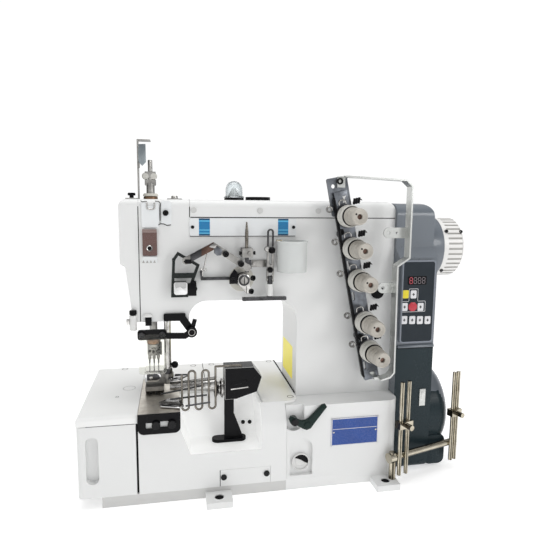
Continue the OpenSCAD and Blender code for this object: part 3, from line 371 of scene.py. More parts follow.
blackPaint = enamel("blackPaint", (0.003, 0.003, 0.004), (0.006, 0.006, 0.007), 0.24, 0.6, 600.0, 0.001,
                    Specular_IOR_Level=0.13)
blackPlastic = plastic("blackPlastic", (0.003, 0.003, 0.004), (0.006, 0.006, 0.007), 0.32,
                       Specular_IOR_Level=0.12)
blackScrew = plastic("blackScrew", (0.005, 0.005, 0.006), (0.010, 0.010, 0.011), 0.26,
                     Specular_IOR_Level=0.2)
seamDark = plastic("seamDark", (0.012, 0.012, 0.013), (0.008, 0.008, 0.009), 0.8, Specular_IOR_Level=0.1)
seamGrey = plastic("seamGrey", (0.09, 0.09, 0.09), (0.06, 0.06, 0.06), 0.6, Specular_IOR_Level=0.2)
brightSteel = steel("brightSteel", (0.72, 0.71, 0.69), (0.26, 0.25, 0.24), 0.10, 0.12, (80, 80, 1800))
flatSteel = steel("flatSteel", (0.46, 0.45, 0.43), (0.18, 0.175, 0.17), 0.22, 0.18, (1800, 80, 80))
mirrorSteel = steel("mirrorSteel", (0.82, 0.82, 0.82), (0.66, 0.66, 0.66), 0.04, 0.05, (60, 60, 900))
darkSteel = steel("darkSteel", (0.10, 0.10, 0.105), (0.03, 0.03, 0.03), 0.2, 0.16, (90, 90, 1400))
bracketSteel = steel("bracketSteel", (0.22, 0.235, 0.26), (0.07, 0.072, 0.08), 0.24, 0.18, (90, 90, 1400))
olivePaint = enamel("olivePaint", (0.012, 0.016, 0.015), (0.018, 0.023, 0.022), 0.26, 0.6, 600.0, 0.001,
                    Specular_IOR_Level=0.2)
tongueSteel = steel("tongueSteel", (0.34, 0.38, 0.40), (0.22, 0.25, 0.27), 0.3, 0.2, (90, 90, 1400))
guardSteel = steel("guardSteel", (0.58, 0.59, 0.575), (0.49, 0.50, 0.485), 0.22, 0.12, (90, 90, 1400),
                   edge=None)
nickel = steel("nickel", (0.70, 0.65, 0.53), (0.42, 0.37, 0.28), 0.10, 0.10, (90, 90, 1600))
# painted shade and painted reflection on the tape rails and stops
nickelShade = steel("nickelShade", (0.13, 0.115, 0.085), (0.06, 0.052, 0.038), 0.14, 0.10, (90, 90, 1600))
bronze = steel("bronze", (0.34, 0.21, 0.13), (0.18, 0.11, 0.07), 0.24, 0.16, (90, 90, 1600))
bronzeDark = steel("bronzeDark", (0.16, 0.10, 0.08), (0.05, 0.03, 0.025), 0.2, 0.16, (90, 90, 1600))
wireSteel = steel("wireSteel", (0.26, 0.24, 0.21), (0.08, 0.07, 0.06), 0.16, 0.14, (90, 90, 1600))
needlePlateSteel = steel("needlePlateSteel", (0.74, 0.70, 0.63), (0.52, 0.48, 0.42), 0.26, 0.16,
                         (1600, 80, 80), edge=None)
knobGrey = plastic("knobGrey", (0.49, 0.46, 0.41), (0.43, 0.405, 0.36), 0.36)
ringGrey = plastic("ringGrey", (0.62, 0.61, 0.57), (0.57, 0.56, 0.52), 0.32)
wheelWhite = plastic("wheelWhite", (0.82, 0.81, 0.79), (0.78, 0.77, 0.75), 0.32)
# painted shade for the handwheel's grooves
wheelShade = plastic("wheelShade", (0.46, 0.45, 0.43), (0.42, 0.41, 0.39), 0.45)
creamPlastic = plastic("creamPlastic", (0.66, 0.64, 0.58), (0.60, 0.58, 0.52), 0.35)
brownPlastic = plastic("brownPlastic", (0.135, 0.075, 0.066), (0.10, 0.056, 0.050), 0.25)
brownLip = plastic("brownLip", (0.26, 0.19, 0.175), (0.22, 0.16, 0.15), 0.25)
leverGreen = enamel("leverGreen", (0.006, 0.018, 0.015), (0.010, 0.024, 0.020), 0.28, bump=0.001,
                    Specular_IOR_Level=0.2)
plateBlue = plastic("plateBlue", (0.016, 0.066, 0.30), (0.013, 0.055, 0.26), 0.25)
bandBlue = plastic("bandBlue", (0.010, 0.20, 0.44), (0.008, 0.17, 0.39), 0.22)
bandSky = plastic("bandSky", (0.10, 0.48, 0.76), (0.08, 0.43, 0.70), 0.22)
bandDeep = plastic("bandDeep", (0.008, 0.075, 0.17), (0.007, 0.06, 0.14), 0.22)
keyWhite = plastic("keyWhite", (0.72, 0.72, 0.74), (0.66, 0.66, 0.68), 0.3)
keyPale = plastic("keyPale", (0.30, 0.26, 0.28), (0.26, 0.22, 0.24), 0.3)
keyYellow = plastic("keyYellow", (0.80, 0.66, 0.02), (0.72, 0.58, 0.02), 0.3)
keyRed = plastic("keyRed", (0.52, 0.03, 0.05), (0.44, 0.02, 0.04), 0.3)
# the label's own yellow, with a faint glow that is painted light on the column's dim side
fieldYellow = plastic("fieldYellow", (0.86, 0.76, 0.05), (0.80, 0.70, 0.04), 0.4,
                      Emission_Color=(1.0, 0.86, 0.05, 1.0), Emission_Strength=0.16)
digitRed = plastic("digitRed", (0.62, 0.10, 0.13), (0.52, 0.08, 0.10), 0.3,
                   Emission_Color=(1.0, 0.18, 0.22, 1.0), Emission_Strength=0.25)
gaugeWhite = plastic("gaugeWhite", (0.74, 0.74, 0.73), (0.69, 0.69, 0.68), 0.16)
# the dome's dark outline is a painted reflection
clearPlastic = plastic("clearPlastic", (0.90, 0.93, 0.94), (0.86, 0.90, 0.91), 0.04, 300.0, 0.0,
                       edge=(0.30, 0.32, 0.33), Transmission_Weight=0.97, IOR=1.3)
shieldClear = plastic("shieldClear", (0.90, 0.90, 0.845), (0.89, 0.89, 0.835), 0.05, 300.0, 0.0,
                      Transmission_Weight=0.95, IOR=1.15)
milkPlastic = plastic("milkPlastic", (0.78, 0.80, 0.79), (0.74, 0.76, 0.75), 0.2, 600.0, 0.01,
                      Transmission_Weight=0.25, IOR=1.4)
print("finishes made:", len(bpy.data.materials))


# mesh helpers

benchToFrame = Matrix.Translation(mm(0, 0, 0)) @ Matrix.Scale(0.001, 4)
meshLimits = {
    "weld": 0.0005,  # mm, between points taken as one
    "nodeWeld": 2e-6,  # the same on a node's mesh, in metres
    "pole": 1e-6,  # mm, the radius of a ring that is one point
    "cut": 1e-7,  # metres, on either side of a cutting plane
    "flat": 0.6,  # degrees, between faces joined to one
    "bevelFrom": 30,  # degrees, at edges that are softened
    "sharpFrom": 35,  # degrees, at edges that are shaded sharp
}


def onAxis(axis, a, b, along):  # a and b lie across the axis
    return {"x": (along, a, b), "y": (a, along, b), "z": (a, b, along)}[axis]


def addBox(edit, low, high):
    corners = [(x, y, z) for x in (low[0], high[0]) for y in (low[1], high[1]) for z in (low[2], high[2])]
    verts = [edit.verts.new(corner) for corner in corners]
    for face in ((0, 1, 3, 2), (4, 6, 7, 5), (0, 4, 5, 1), (2, 3, 7, 6), (0, 2, 6, 4), (1, 5, 7, 3)):
        edit.faces.new([verts[i] for i in face])


def addPrism(edit, outline, axis, start, end):
    rings = [[edit.verts.new(onAxis(axis, a, b, along)) for a, b in outline] for along in (start, end)]
    for ring in rings:
        edit.faces.new(ring)
    for i in range(len(outline)):
        j = (i + 1) % len(outline)
        edit.faces.new((rings[0][i], rings[0][j], rings[1][j], rings[1][i]))


def addLathe(edit, axis, center, profile, steps=40, flute=0.0, fluted=(), loop=False):
    rings = []
    for index, (radius, along) in enumerate(profile):  # every second point of a fluted ring lies deeper
        ring = []
        for step in range(1 if radius < meshLimits["pole"] else steps):
            angle = 2 * math.pi * step / steps
            reach = radius - (flute if index in fluted and step % 2 else 0)
            a, b = center[0] + reach * math.cos(angle), center[1] + reach * math.sin(angle)
            ring.append(edit.verts.new(onAxis(axis, a, b, along)))
        rings.append(ring)
    pairs = list(zip(rings, rings[1:])) + ([(rings[-1], rings[0])] if loop else [])
    for low, high in pairs:
        for step in range(steps):
            corners = [low[step % len(low)], low[(step + 1) % len(low)],
                       high[(step + 1) % len(high)], high[step % len(high)]]
            corners = [v for i, v in enumerate(corners) if v not in corners[:i]]
            if len(corners) > 2:
                edit.faces.new(corners)


def roundOutline(low, high, radius, arc=6):  # rectangle with round corners
    points = []
    for cx, cy, turn in ((high[0] - radius, high[1] - radius, 0), (low[0] + radius, high[1] - radius, 1),
                         (low[0] + radius, low[1] + radius, 2), (high[0] - radius, low[1] + radius, 3)):
        for step in range(arc + 1):
            angle = math.pi / 2 * (turn + step / arc)
            points.append((cx + radius * math.cos(angle), cy + radius * math.sin(angle)))
    return points


def showMesh(name, mesh, material, body, nodes=(), sharp=meshLimits["sharpFrom"]):
    mesh.materials.clear()
    mesh.materials.append(material)
    mesh.shade_smooth()
    mesh.set_sharp_from_angle(angle=math.radians(sharp))
    piece = bpy.data.objects.new(name, mesh)
    bpy.context.collection.objects.link(piece)
    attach(piece, body)
    if nodes:
        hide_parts(*nodes)


def makePiece(name, edit, material, body=root, nodes=(), soften=0.0, sharp=meshLimits["sharpFrom"],
              place=None):
    bmesh.ops.remove_doubles(edit, verts=edit.verts, dist=meshLimits["weld"])
    bmesh.ops.recalc_face_normals(edit, faces=edit.faces)
    if soften:
        turn = math.radians(meshLimits["bevelFrom"])
        edges = [e for e in edit.edges if len(e.link_faces) == 2 and e.calc_face_angle(0) > turn]
        bmesh.ops.bevel(edit, geom=edges, offset=soften, offset_type="OFFSET", segments=2, profile=0.5,
                        affect="EDGES", clamp_overlap=True)
    if place:
        bmesh.ops.transform(edit, matrix=place, verts=edit.verts)
    bmesh.ops.transform(edit, matrix=benchToFrame, verts=edit.verts)
    mesh = bpy.data.meshes.new(name)
    edit.to_mesh(mesh)
    edit.free()
    showMesh(name, mesh, material, body, nodes, sharp)


def boxPiece(name, boxes, material, body=root, soften=0.4):
    edit = bmesh.new()
    for low, high in boxes:
        addBox(edit, low, high)
    makePiece(name, edit, material, body, soften=soften)


def prismPiece(name, outline, axis, start, end, material, body=root, soften=0.3, place=None):
    edit = bmesh.new()
    addPrism(edit, outline, axis, start, end)
    makePiece(name, edit, material, body, soften=soften, place=place)


def lathePiece(name, axis, centers, profile, material, body=root, steps=40, place=None, loop=False,
               nodes=()):
    edit = bmesh.new()
    for center in centers:
        addLathe(edit, axis, center, profile, steps, loop=loop)
    makePiece(name, edit, material, body, nodes, place=place)


def ringPiece(name, axis, centers, profile, material, body=root, steps=40, place=None, nodes=()):
    lathePiece(name, axis, centers, profile, material, body, steps, place, True, nodes)


def shapedMesh(holder):  # the modifiers' result as a plain mesh
    mesh = bpy.data.meshes.new_from_object(holder.evaluated_get(bpy.context.evaluated_depsgraph_get()))
    bpy.data.objects.remove(holder)
    return mesh


def softCopy(node, width, segments=2, angle=40):  # a CAD piece with its edges broken
    mesh = frame["nodes"][node].data.copy()
    edit = bmesh.new()
    edit.from_mesh(mesh)
    bmesh.ops.remove_doubles(edit, verts=edit.verts, dist=meshLimits["nodeWeld"])
    bmesh.ops.dissolve_limit(edit, angle_limit=math.radians(meshLimits["flat"]), verts=edit.verts,
                             edges=edit.edges)
    edit.to_mesh(mesh)
    edit.free()
    holder = bpy.data.objects.new(node + "Soft", mesh)
    bpy.context.collection.objects.link(holder)
    bevel = holder.modifiers.new("breakEdges", "BEVEL")
    bevel.width = width / 1000
    bevel.segments = segments
    bevel.limit_method = "ANGLE"
    bevel.angle_limit = math.radians(angle)
    bevel.use_clamp_overlap = True
    bevel.miter_outer = "MITER_ARC"
    weigh = holder.modifiers.new("evenNormals", "WEIGHTED_NORMAL")
    weigh.keep_sharp = True
    mesh.shade_smooth()
    return shapedMesh(holder)


def cutMesh(mesh, planes):  # split faces where finishes meet
    edit = bmesh.new()
    edit.from_mesh(mesh)
    for axis, along, *drop in planes:  # drop: what lies beyond goes
        everything = edit.verts[:] + edit.edges[:] + edit.faces[:]
        cut = bmesh.ops.bisect_plane(edit, geom=everything, dist=meshLimits["cut"],
                                     plane_co=benchToFrame @ Vector(onAxis(axis, 0, 0, along)),
                                     plane_no=onAxis(axis, 0, 0, 1), clear_outer=bool(drop))
        if drop:
            rim = [part for part in cut["geom_cut"] if isinstance(part, bmesh.types.BMEdge)]
            bmesh.ops.holes_fill(edit, edges=rim)
    edit.to_mesh(mesh)
    edit.free()


def dressNode(node, material, width=0.0, zones=(), planes=()):  # zones: further finishes and where they lie
    if not width:
        slots = frame["nodes"][node].data.materials
        slots.clear()
        slots.append(material)
        return
    mesh = softCopy(node, width)
    if planes:
        cutMesh(mesh, planes)
    mesh.materials.clear()
    for finish in [material] + [zone[0] for zone in zones]:
        mesh.materials.append(finish)
    toBench = benchToFrame.inverted()
    for face in mesh.polygons:
        place = toBench @ face.center
        face.material_index = 0
        for index, (finish, test) in enumerate(zones):
            if test(place, face.normal):
                face.material_index = index + 1
    piece = bpy.data.objects.new(node + "Shown", mesh)
    bpy.context.collection.objects.link(piece)
    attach(piece, nodeBody[node])
    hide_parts(node)


# where a node has a further finish: p is the place of a face on the bench, n its normal

wheelAxis = (78.0, 297.0)
zoneLimits = {
    "pan": (178, 13.5),  # right end, upper edge
    "scoop": (48, 158, 30),  # left, right and lower ends
    "arm": (64, 77, 91),  # collar's left end, where the bush follows, its right end
    "slot": (242.5, 303),  # lower and upper ends of the bright middle
    "motor": 174,  # upper edge of the dark front
    "wheel": (38.4, 39.6),  # radii of the groove
}


# painted shade: the pan's front under the front cover is painted darker, as it lies in the cover's shade
def panFront(p, n):
    right, top = zoneLimits["pan"]
    return p.z < top and p.x < right and n.y < -0.5 and p.y > -2


def scoopFace(p, n):
    left, right, low = zoneLimits["scoop"]
    return p.y > 1.5 and p.z > low and left < p.x < right


def armCollar(p, n):
    return zoneLimits["arm"][0] < p.x < zoneLimits["arm"][1]


def armBush(p, n):
    return zoneLimits["arm"][1] < p.x < zoneLimits["arm"][2]


def slotEnds(p, n):
    low, high = zoneLimits["slot"]
    return p.z < low or p.z > high


def motorFront(p, n):
    return p.z < zoneLimits["motor"] and p.y < 30 and n.y < -0.8


def filmEdge(p, n):
    return p.y < 13.35 or p.y > 13.75


# painted highlight: the binder block's front edges are painted a lighter grey
def blockHighlightEdges(p, n):
    return 0.15 < -n.y < 0.96 and p.y > 20


def railPaintedReflection(p, n):  # painted reflection: the dark core a polished rod shows where it mirrors the dim room
    return -0.5 < n.x < 0.1 and n.y < 0 or -0.8 < n.z < -0.3


# painted shade on the left sides and undersides of the tape stops
def stopShade(p, n):
    return n.x < -0.55 or n.z < -0.6


def topScrews(p, n):
    return p.z > 340


# painted shade: the handwheel's grooves are painted darker
def wheelGroove(p, n):
    inner, outer = zoneLimits["wheel"]
    return p.x > 404.5 and inner < math.hypot(p.y - wheelAxis[0], p.z - wheelAxis[1]) < outer


nodeFinish = [  # node, finish, width of the broken edge in mm, further finishes and where, planes to cut at
    ("bed_frame", castWhite, 1.6, [(castShade, panFront)], list(zip("xz", zoneLimits["pan"]))),
    ("front_cover", coverWhite, 1.2, [(scoopPaintedLight, scoopFace)]),
    ("access_plate", coverWhite, 0.5),
    ("front_thread_guide", blackPaint, 0.5),
    ("needle_plate", needlePlateSteel),
    ("throat_plate", bedWhite, 0.4),
    ("slide_plate", bedWhite, 0.6),
    ("left_top_plate", topPaintedLight, 0.8),
    ("cover_hinge_pin", brightSteel, 0),
    ("arm_frame", castWhite, 1.2),
    ("face_cover", coverWhite, 1.2),
    ("top_cover", coverWhite, 0.9),
    ("name_strip", stripWhite, 0.3),
    ("nameplate", plateBlue, 0.15),
    ("top_caps", blackPlastic, 0.6),
    ("take_up_guard", flatSteel, 0.3),
    ("head_thread_plate", stripWhite, 0.4),
    ("head_tension_plate", brownPlastic, 0.4),
    ("loop_guard", olivePaint, 0.5),
    ("guide_arm", flatSteel, 0.5, [(darkSteel, armCollar), (bronzeDark, armBush)],
     [("x", x) for x in zoneLimits["arm"]]),
    ("pin_guide", flatSteel, 0.4, [], [("z", 303, True)]),  # the photo's pin ends lower and tapers
    ("slot_guide", flatSteel, 0.4, [(darkSteel, slotEnds)], [("z", z) for z in zoneLimits["slot"]]),
    ("oil_cup", milkPlastic, 0.4),
    ("tension_bracket", bracketSteel, 0.4),
    ("tension_posts", bronzeDark, 0.3),
    ("tension_discs", darkSteel, 0),
    ("tension_guard", guardSteel, 0.3),
    ("motor_housing", motorGrey, 1.6, [(motorLow, motorFront)], [("z", zoneLimits["motor"])]),
    ("control_panel", panelFilm, 0.6, [(panelRim, filmEdge)]),
    ("guard_bracket", blackPaint, 0.4),
    ("binder_bracket", blackPaint, 0.6),
    ("binder_block", blackPaint, 0.8, [(paintedEdgeHighlight, blockHighlightEdges)]),
    ("tape_wire", wireSteel, 0),
    ("tape_rails", nickel, 0.4, [(nickelShade, railPaintedReflection)]),
    ("machine_screws", blackScrew, 0.25, [(castShade, topScrews)]),
    ("tape_stop_1", nickel, 0.4, [(nickelShade, stopShade)]),
    ("tape_stop_2", nickel, 0.4, [(nickelShade, stopShade)]),
    ("left_cover", coverWhite, 1.2),
    ("handwheel", wheelWhite, 0.4, [(wheelShade, wheelGroove)]),
    ("arm_shaft", brightSteel, 0),
    ("main_shaft", brightSteel, 0),
    ("needle_bar", flatSteel, 0.3),
    ("needle_clamp", flatSteel, 0.4),
    ("needles", darkSteel, 0),
    ("presser_bar", brightSteel, 0.3),
    ("presser_foot", flatSteel, 0.4),
    ("feed_dog", flatSteel, 0),
    ("looper", brightSteel, 0.3),
    ("guard_bar", blackPaint, 0.4),
    ("guard_shield", shieldClear, 0.2),
    ("take_up_lever", darkSteel, 0.4),
]
for entry in nodeFinish:
    dressNode(*entry)
print("nodes dressed:", len(nodeFinish))


# node trees for what repeats or follows a path

def newTree(name, inputs):
    tree = bpy.data.node_groups.new(name, "GeometryNodeTree")
    tree.interface.new_socket(name="Geometry", in_out="INPUT", socket_type="NodeSocketGeometry")
    for label, kind, value in inputs:
        socket = tree.interface.new_socket(name=label, in_out="INPUT", socket_type=kind)
        if value is not None:
            socket.default_value = value
    tree.interface.new_socket(name="Geometry", in_out="OUTPUT", socket_type="NodeSocketGeometry")
    return tree, tree.nodes.new("NodeGroupInput"), tree.nodes.new("NodeGroupOutput")


def makeWireTree():  # round wire bent along a line of points
    tree, source, sink = newTree("bentWire", [
        ("Radius", "NodeSocketFloat", 1.0),
        ("Bend", "NodeSocketFloat", 2.0),
        ("Finish", "NodeSocketMaterial", None),
    ])
    line = addNode(tree, "GeometryNodeMeshToCurve")
    bend = addNode(tree, "GeometryNodeFilletCurve", mode="POLY")
    bend.inputs["Count"].default_value = 6
    bend.inputs["Limit Radius"].default_value = True
    section = addNode(tree, "GeometryNodeCurvePrimitiveCircle")
    section.inputs["Resolution"].default_value = 10
    sweep = addNode(tree, "GeometryNodeCurveToMesh")
    sweep.inputs["Fill Caps"].default_value = True
    real = addNode(tree, "GeometryNodeRealizeInstances")
    paint = addNode(tree, "GeometryNodeSetMaterial")
    joinAll(tree, [
        (source, "Geometry", line, "Mesh"),
        (line, "Curve", bend, "Curve"),
        (source, "Bend", bend, "Radius"),
        (bend, "Curve", sweep, "Curve"),
        (source, "Radius", section, "Radius"),
        (section, "Curve", sweep, "Profile Curve"),
        (sweep, "Mesh", real, "Geometry"),
        (real, "Geometry", paint, "Geometry"),
        (source, "Finish", paint, "Material"),
        (paint, "Geometry", sink, "Geometry"),
    ])
    return tree


def makeStudTree():  # one shape set on every point, turned to one direction
    tree, source, sink = newTree("studField", [
        ("Stud", "NodeSocketObject", None),
        ("Aim", "NodeSocketVector", (0.0, 0.0, 1.0)),
        ("Size", "NodeSocketFloat", 1.0),
        ("Finish", "NodeSocketMaterial", None),
    ])
    points = addNode(tree, "GeometryNodeMeshToPoints")
    stud = addNode(tree, "GeometryNodeObjectInfo")
    stud.inputs["As Instance"].default_value = True
    turn = addNode(tree, "FunctionNodeAlignRotationToVector", axis="Z")
    place = addNode(tree, "GeometryNodeInstanceOnPoints")
    real = addNode(tree, "GeometryNodeRealizeInstances")
    paint = addNode(tree, "GeometryNodeSetMaterial")
    joinAll(tree, [
        (source, "Geometry", points, "Mesh"),
        (points, "Points", place, "Points"),
        (source, "Stud", stud, "Object"),
        (stud, "Geometry", place, "Instance"),
        (source, "Aim", turn, "Vector"),
        (turn, "Rotation", place, "Rotation"),
        (source, "Size", place, "Scale"),
        (place, "Instances", real, "Geometry"),
        (real, "Geometry", paint, "Geometry"),
        (source, "Finish", paint, "Material"),
        (paint, "Geometry", sink, "Geometry"),
    ])
    return tree


wireTree = makeWireTree()
studTree = makeStudTree()


def growMesh(tree, values, points, edges=()):  # run a tree over some points and keep a plain mesh
    seed = bpy.data.meshes.new("seed")
    seed.from_pydata(points, edges, [])
    holder = bpy.data.objects.new("holder", seed)
    bpy.context.collection.objects.link(holder)
    grow = holder.modifiers.new("grow", "NODES")
    grow.node_group = tree
    for item in tree.interface.items_tree:
        if item.in_out == "INPUT" and item.name in values:
            grow[item.identifier] = values[item.name]
    return shapedMesh(holder)


def wirePiece(name, paths, radius, bend, material, body=root, place=None):
    points, edges = [], []
    for path in paths:
        first = len(points)
        points += path
        edges += [(first + i, first + i + 1) for i in range(len(path) - 1)]
    mesh = growMesh(wireTree, {"Radius": radius, "Bend": bend, "Finish": material}, points, edges)
    mesh.transform(benchToFrame @ place if place else benchToFrame)
    showMesh(name, mesh, material, body)


def makeStud(name, turnings):  # template head standing on Z, in mm
    edit = bmesh.new()
    for profile, steps in turnings:
        addLathe(edit, "z", (0, 0), profile, steps)
    bmesh.ops.recalc_face_normals(edit, faces=edit.faces)
    mesh = bpy.data.meshes.new(name)
    edit.to_mesh(mesh)
    edit.free()
    mesh.shade_smooth()
    mesh.set_sharp_from_angle(angle=math.radians(meshLimits["sharpFrom"]))
    return bpy.data.objects.new(name, mesh)


studs = {  # unit radius heads
    "socket": makeStud("socketHead", [([(0, 0), (1, 0), (1, 0.75), (0.9, 0.85), (0.56, 0.85)], 24),
                                      ([(0.56, 0.85), (0.5, 0.3), (0, 0.3)], 6)]),
    "pan": makeStud("panHead", [([(0, 0), (1, 0), (1, 0.3), (0.86, 0.48), (0.5, 0.6), (0, 0.64)], 24)]),
    "dimple": makeStud("dimple",
                       [([(0, -0.3), (1, -0.3), (1, 0.04), (0.82, 0.04), (0.62, -0.2), (0, -0.2)], 24)]),
}


def studPiece(name, stud, points, aim, size, material, body=root):
    mesh = growMesh(studTree, {"Stud": studs[stud], "Aim": aim, "Size": size, "Finish": material}, points)
    mesh.transform(benchToFrame)
    showMesh(name, mesh, material, body)


print("node trees built")


# tables of pieces: every row of a table makes one piece

makers = {
    "boxes": boxPiece,  # corners, finish, body, soften
    "prisms": prismPiece,  # outline, axis, start, end, finish, body, soften
    "lathes": lathePiece,  # axis, centres, profile of radius and place along the axis, finish, body, steps
    "rings": ringPiece,  # the same, closed round an opening
    "wires": wirePiece,  # paths, radius, bend, finish, body
    "studs": studPiece,  # shape, points, aim, size, finish, body
}
toFront = (0, -1, 0)
upward = (0, 0, 1)


def makeTables(tables):
    for kind, pieces in tables.items():
        for name, row in pieces.items():
            makers[kind](name, *row)


def around(center, reach, degrees):  # point at an angle about a centre
    turn = math.radians(degrees)
    return center[0] + reach * math.cos(turn), center[1] + reach * math.sin(turn)


def shifted(outline, a, b):
    return [(first + a, second + b) for first, second in outline]


# seams, and a painted shadow line under the name strip

seams = {
    "split": (5.0, 213.0),  # x and lower end
    "coverEnd": (64.15, 337.0),
    "coverRight": 324.5,
    "front": 36.0,
    "back": 120.0,
    "top": 358.0,
    "bend": 349.5,  # where the sides turn over to the top
    "proud": 0.06,
    "deep": 1,
    "half": 0.5,  # half of a seam's width
    "frontHalf": 0.55,
    "corner": 9,  # room for the round edges of the top
    "others": [
        ((95.7, -0.05, 14.5), (96.5, 0.8, 34.8)),
        ((84.5, 62, 111.0), (85.3, 177.5, 112.05)),
        ((195.1, 40, 110.6), (196.9, 177.5, 111.7)),
        # painted shadow under the name strip's lower edge
        ((64.4, 34.7, 314.2), (193.0, 36.1, 315.0)),
        ((-0.8, 3.0, 15.0), (1.3, 4.0, 100.4)),
    ],
    "leftCover": [((-56, 0.2, 100.7), (-2.2, 0.8, 101.5)), ((-66.4, 12, 100.7), (-65.8, 166, 101.5))],
}


def hoopSeam(s, x, foot):  # up the front and the back, and over the top
    front, back, top, bend = s["front"], s["back"], s["top"], s["bend"]
    proud, deep, half, corner = s["proud"], s["deep"], s["half"], s["corner"]
    return [
        ((x - half, front - proud, foot), (x + half, front + deep, bend)),
        ((x - half, back - deep, foot), (x + half, back + proud, bend)),
        ((x - half, front + corner, top - deep), (x + half, back - corner, top + proud)),
    ]


def makeSeams(s):
    front, back, right = s["front"], s["back"], s["coverRight"]
    proud, deep, half, frontHalf = s["proud"], s["deep"], s["half"], s["frontHalf"]
    left, z = s["coverEnd"]
    along = [
        ((left + 1, front - proud, z - frontHalf), (right, front + deep, z + frontHalf)),
        ((left + 1, back - deep, z - half), (right, back + proud, z + half)),
    ]
    boxes = hoopSeam(s, *s["split"]) + along + hoopSeam(s, left, z) + s["others"]
    boxPiece("seamLines", boxes, seamDark, soften=0)
    boxPiece("coverSeam", s["leftCover"], seamDark, nodeBody["left_cover"], soften=0)


makeSeams(seams)


# head

brownHole = (17.5, 301.0)
barAxis = (18.0, 78.0)
needleBar = nodeBody["needle_bar"]
head = {
    "wires": {
        "notchWire": ([[(15.3, 33.5, 353.8), (15.3, 33.5, 346.2), (23.9, 33.5, 346.2),
                        (23.9, 33.5, 353.8)]], 1.0, 2.4, brightSteel),
        # painted shadow lines along the edges of the head's plates
        "headLines": ([
            [(24.6, 33.3, 355.6), (28.8, 33.3, 355.4), (31.0, 33.3, 352.6), (30.2, 33.3, 348.0),
             (30.0, 33.3, 333.0)],
            [(28.0, 33.3, 327.8), (30.0, 33.3, 329.4), (34.0, 33.3, 329.2), (38.3, 33.3, 327.4),
             (42.6, 33.3, 328.2)],
            [(8.6, 33.3, 356.0), (9.6, 33.3, 354.6), (13.4, 33.3, 354.9), (15.6, 33.3, 355.2)],
        ], 0.55, 1.2, seamGrey),
    },
    "studs": {
        "headBracketScrew": ("socket", [(36.5, 33.5, 342.0)], toFront, 3.4, blackScrew),
    },
    "rings": {
        "brownEyelet": ("y", [brownHole], [(2.3, 32), (2.3, 31.2), (3.0, 30.9), (3.6, 31.4), (3.6, 32)],
                        brightSteel),
        "needleBarBush": ("z", [barAxis],
                          [(5.3, 358), (8.6, 358), (8.8, 360), (8.2, 361.6), (7.5, 361.8), (7.5, 358.6),
                           (5.3, 358.6)], bronze),
        "needleBarFoot": ("z", [barAxis],
                          [(7.5, 361.8), (9.4, 362), (9.2, 363.6), (8.2, 365.2), (7.5, 365.4)],
                          creamPlastic),
    },
    "lathes": {
        # painted shade: a black disc fills the eyelet's hole
        "brownCore": ("y", [brownHole], [(0, 31.9), (1.4, 31.8), (2.6, 31.3), (2.6, 32.3), (0, 32.3)],
                      blackPlastic, root, 28),
        "guardButton": ("z", [(-5.0, 78.0)],
                        [(0, 359.6), (2.6, 359.6), (2.6, 362.4), (4.7, 362.6), (4.7, 365), (4, 365.9),
                         (0, 366.1)], blackPlastic),
        "headPlug": ("z", [(47.0, 78.0)],
                     [(0, 358), (9.5, 358), (9.5, 359), (8.8, 359.4), (4.2, 359.4), (4.0, 362),
                      (3.2, 362.8), (0, 363)], flatSteel),
        "barWings": ("y", [(12.4, 386.4), (22.0, 386.4)],
                     [(0, 74.4), (3.6, 74.8), (4.4, 76), (4.4, 80), (3.6, 81.2), (0, 81.6)], ringGrey,
                     needleBar, 24),
    },
    "prisms": {
        "brownLip": ([(32.5, 319.2), (30.7, 319.2), (30.7, 321.8), (31.4, 323.2), (32.5, 323.2)], "x", 9.5,
                     26, brownLip),
    },
    "boxes": {
        "barFlanks": ([((11.2, 76.4, 375.4), (12.8, 79.6, 382)), ((23.2, 76.4, 375.4), (24.8, 79.6, 382))],
                      darkSteel, needleBar, 0.5),
    },
}
makeTables(head)


# name strip, nameplate, gauge and blank field

strip = {
    "depth": (34.38, 34.7),  # in front of the strip's face and behind it
    "squares": ((75.0, 88.0), (171.0, 184.0)),
    "bands": (  # finish, lower and upper edges
        (bandDeep, ((315.4, 317.6), (333.8, 335.8))),
        (bandSky, ((317.6, 319.0), (321.4, 322.8), (332.0, 333.8))),
        (bandBlue, ((319.0, 321.4), (322.8, 332.0))),
    ),
}


def makeStrip(s):
    front, back = s["depth"]
    for index, (finish, bands) in enumerate(s["bands"], 1):
        boxes = [((x0, front, z0), (x1, back, z1)) for x0, x1 in s["squares"] for z0, z1 in bands]
        boxPiece(f"stripBand{index}", boxes, finish, soften=0)


plate = {
    "low": (235.0, 53.0),
    "high": (297.0, 89.0),
    "face": 1.2,
    "border": 1.1,
    "line": (74.5, 0.6, 2),  # height, width, in from the sides
    "rivets": (3.2, 71),  # in from the sides, height
}


def makePlate(p):
    (x0, z0), (x1, z1), wide, y = p["low"], p["high"], p["border"], p["face"]
    line, lineWide, inset = p["line"]
    edges = [(x0, z0, x1, z0 + wide), (x0, z1 - wide, x1, z1), (x0, z0, x0 + wide, z1),
             (x1 - wide, z0, x1, z1), (x0 + inset, line, x1 - inset, line + lineWide)]
    boxes = [((a, y - 0.1, b), (c, y + 0.3, d)) for a, b, c, d in edges]
    boxPiece("plateBorder", boxes, keyWhite, soften=0)
    inset, height = p["rivets"]
    rivets = [(x0 + inset, y, height), (x1 - inset, y, height)]
    studPiece("plateRivets", "pan", rivets, toFront, 1.2, brightSteel)


gaugeCenter = (197.0, 34.0)
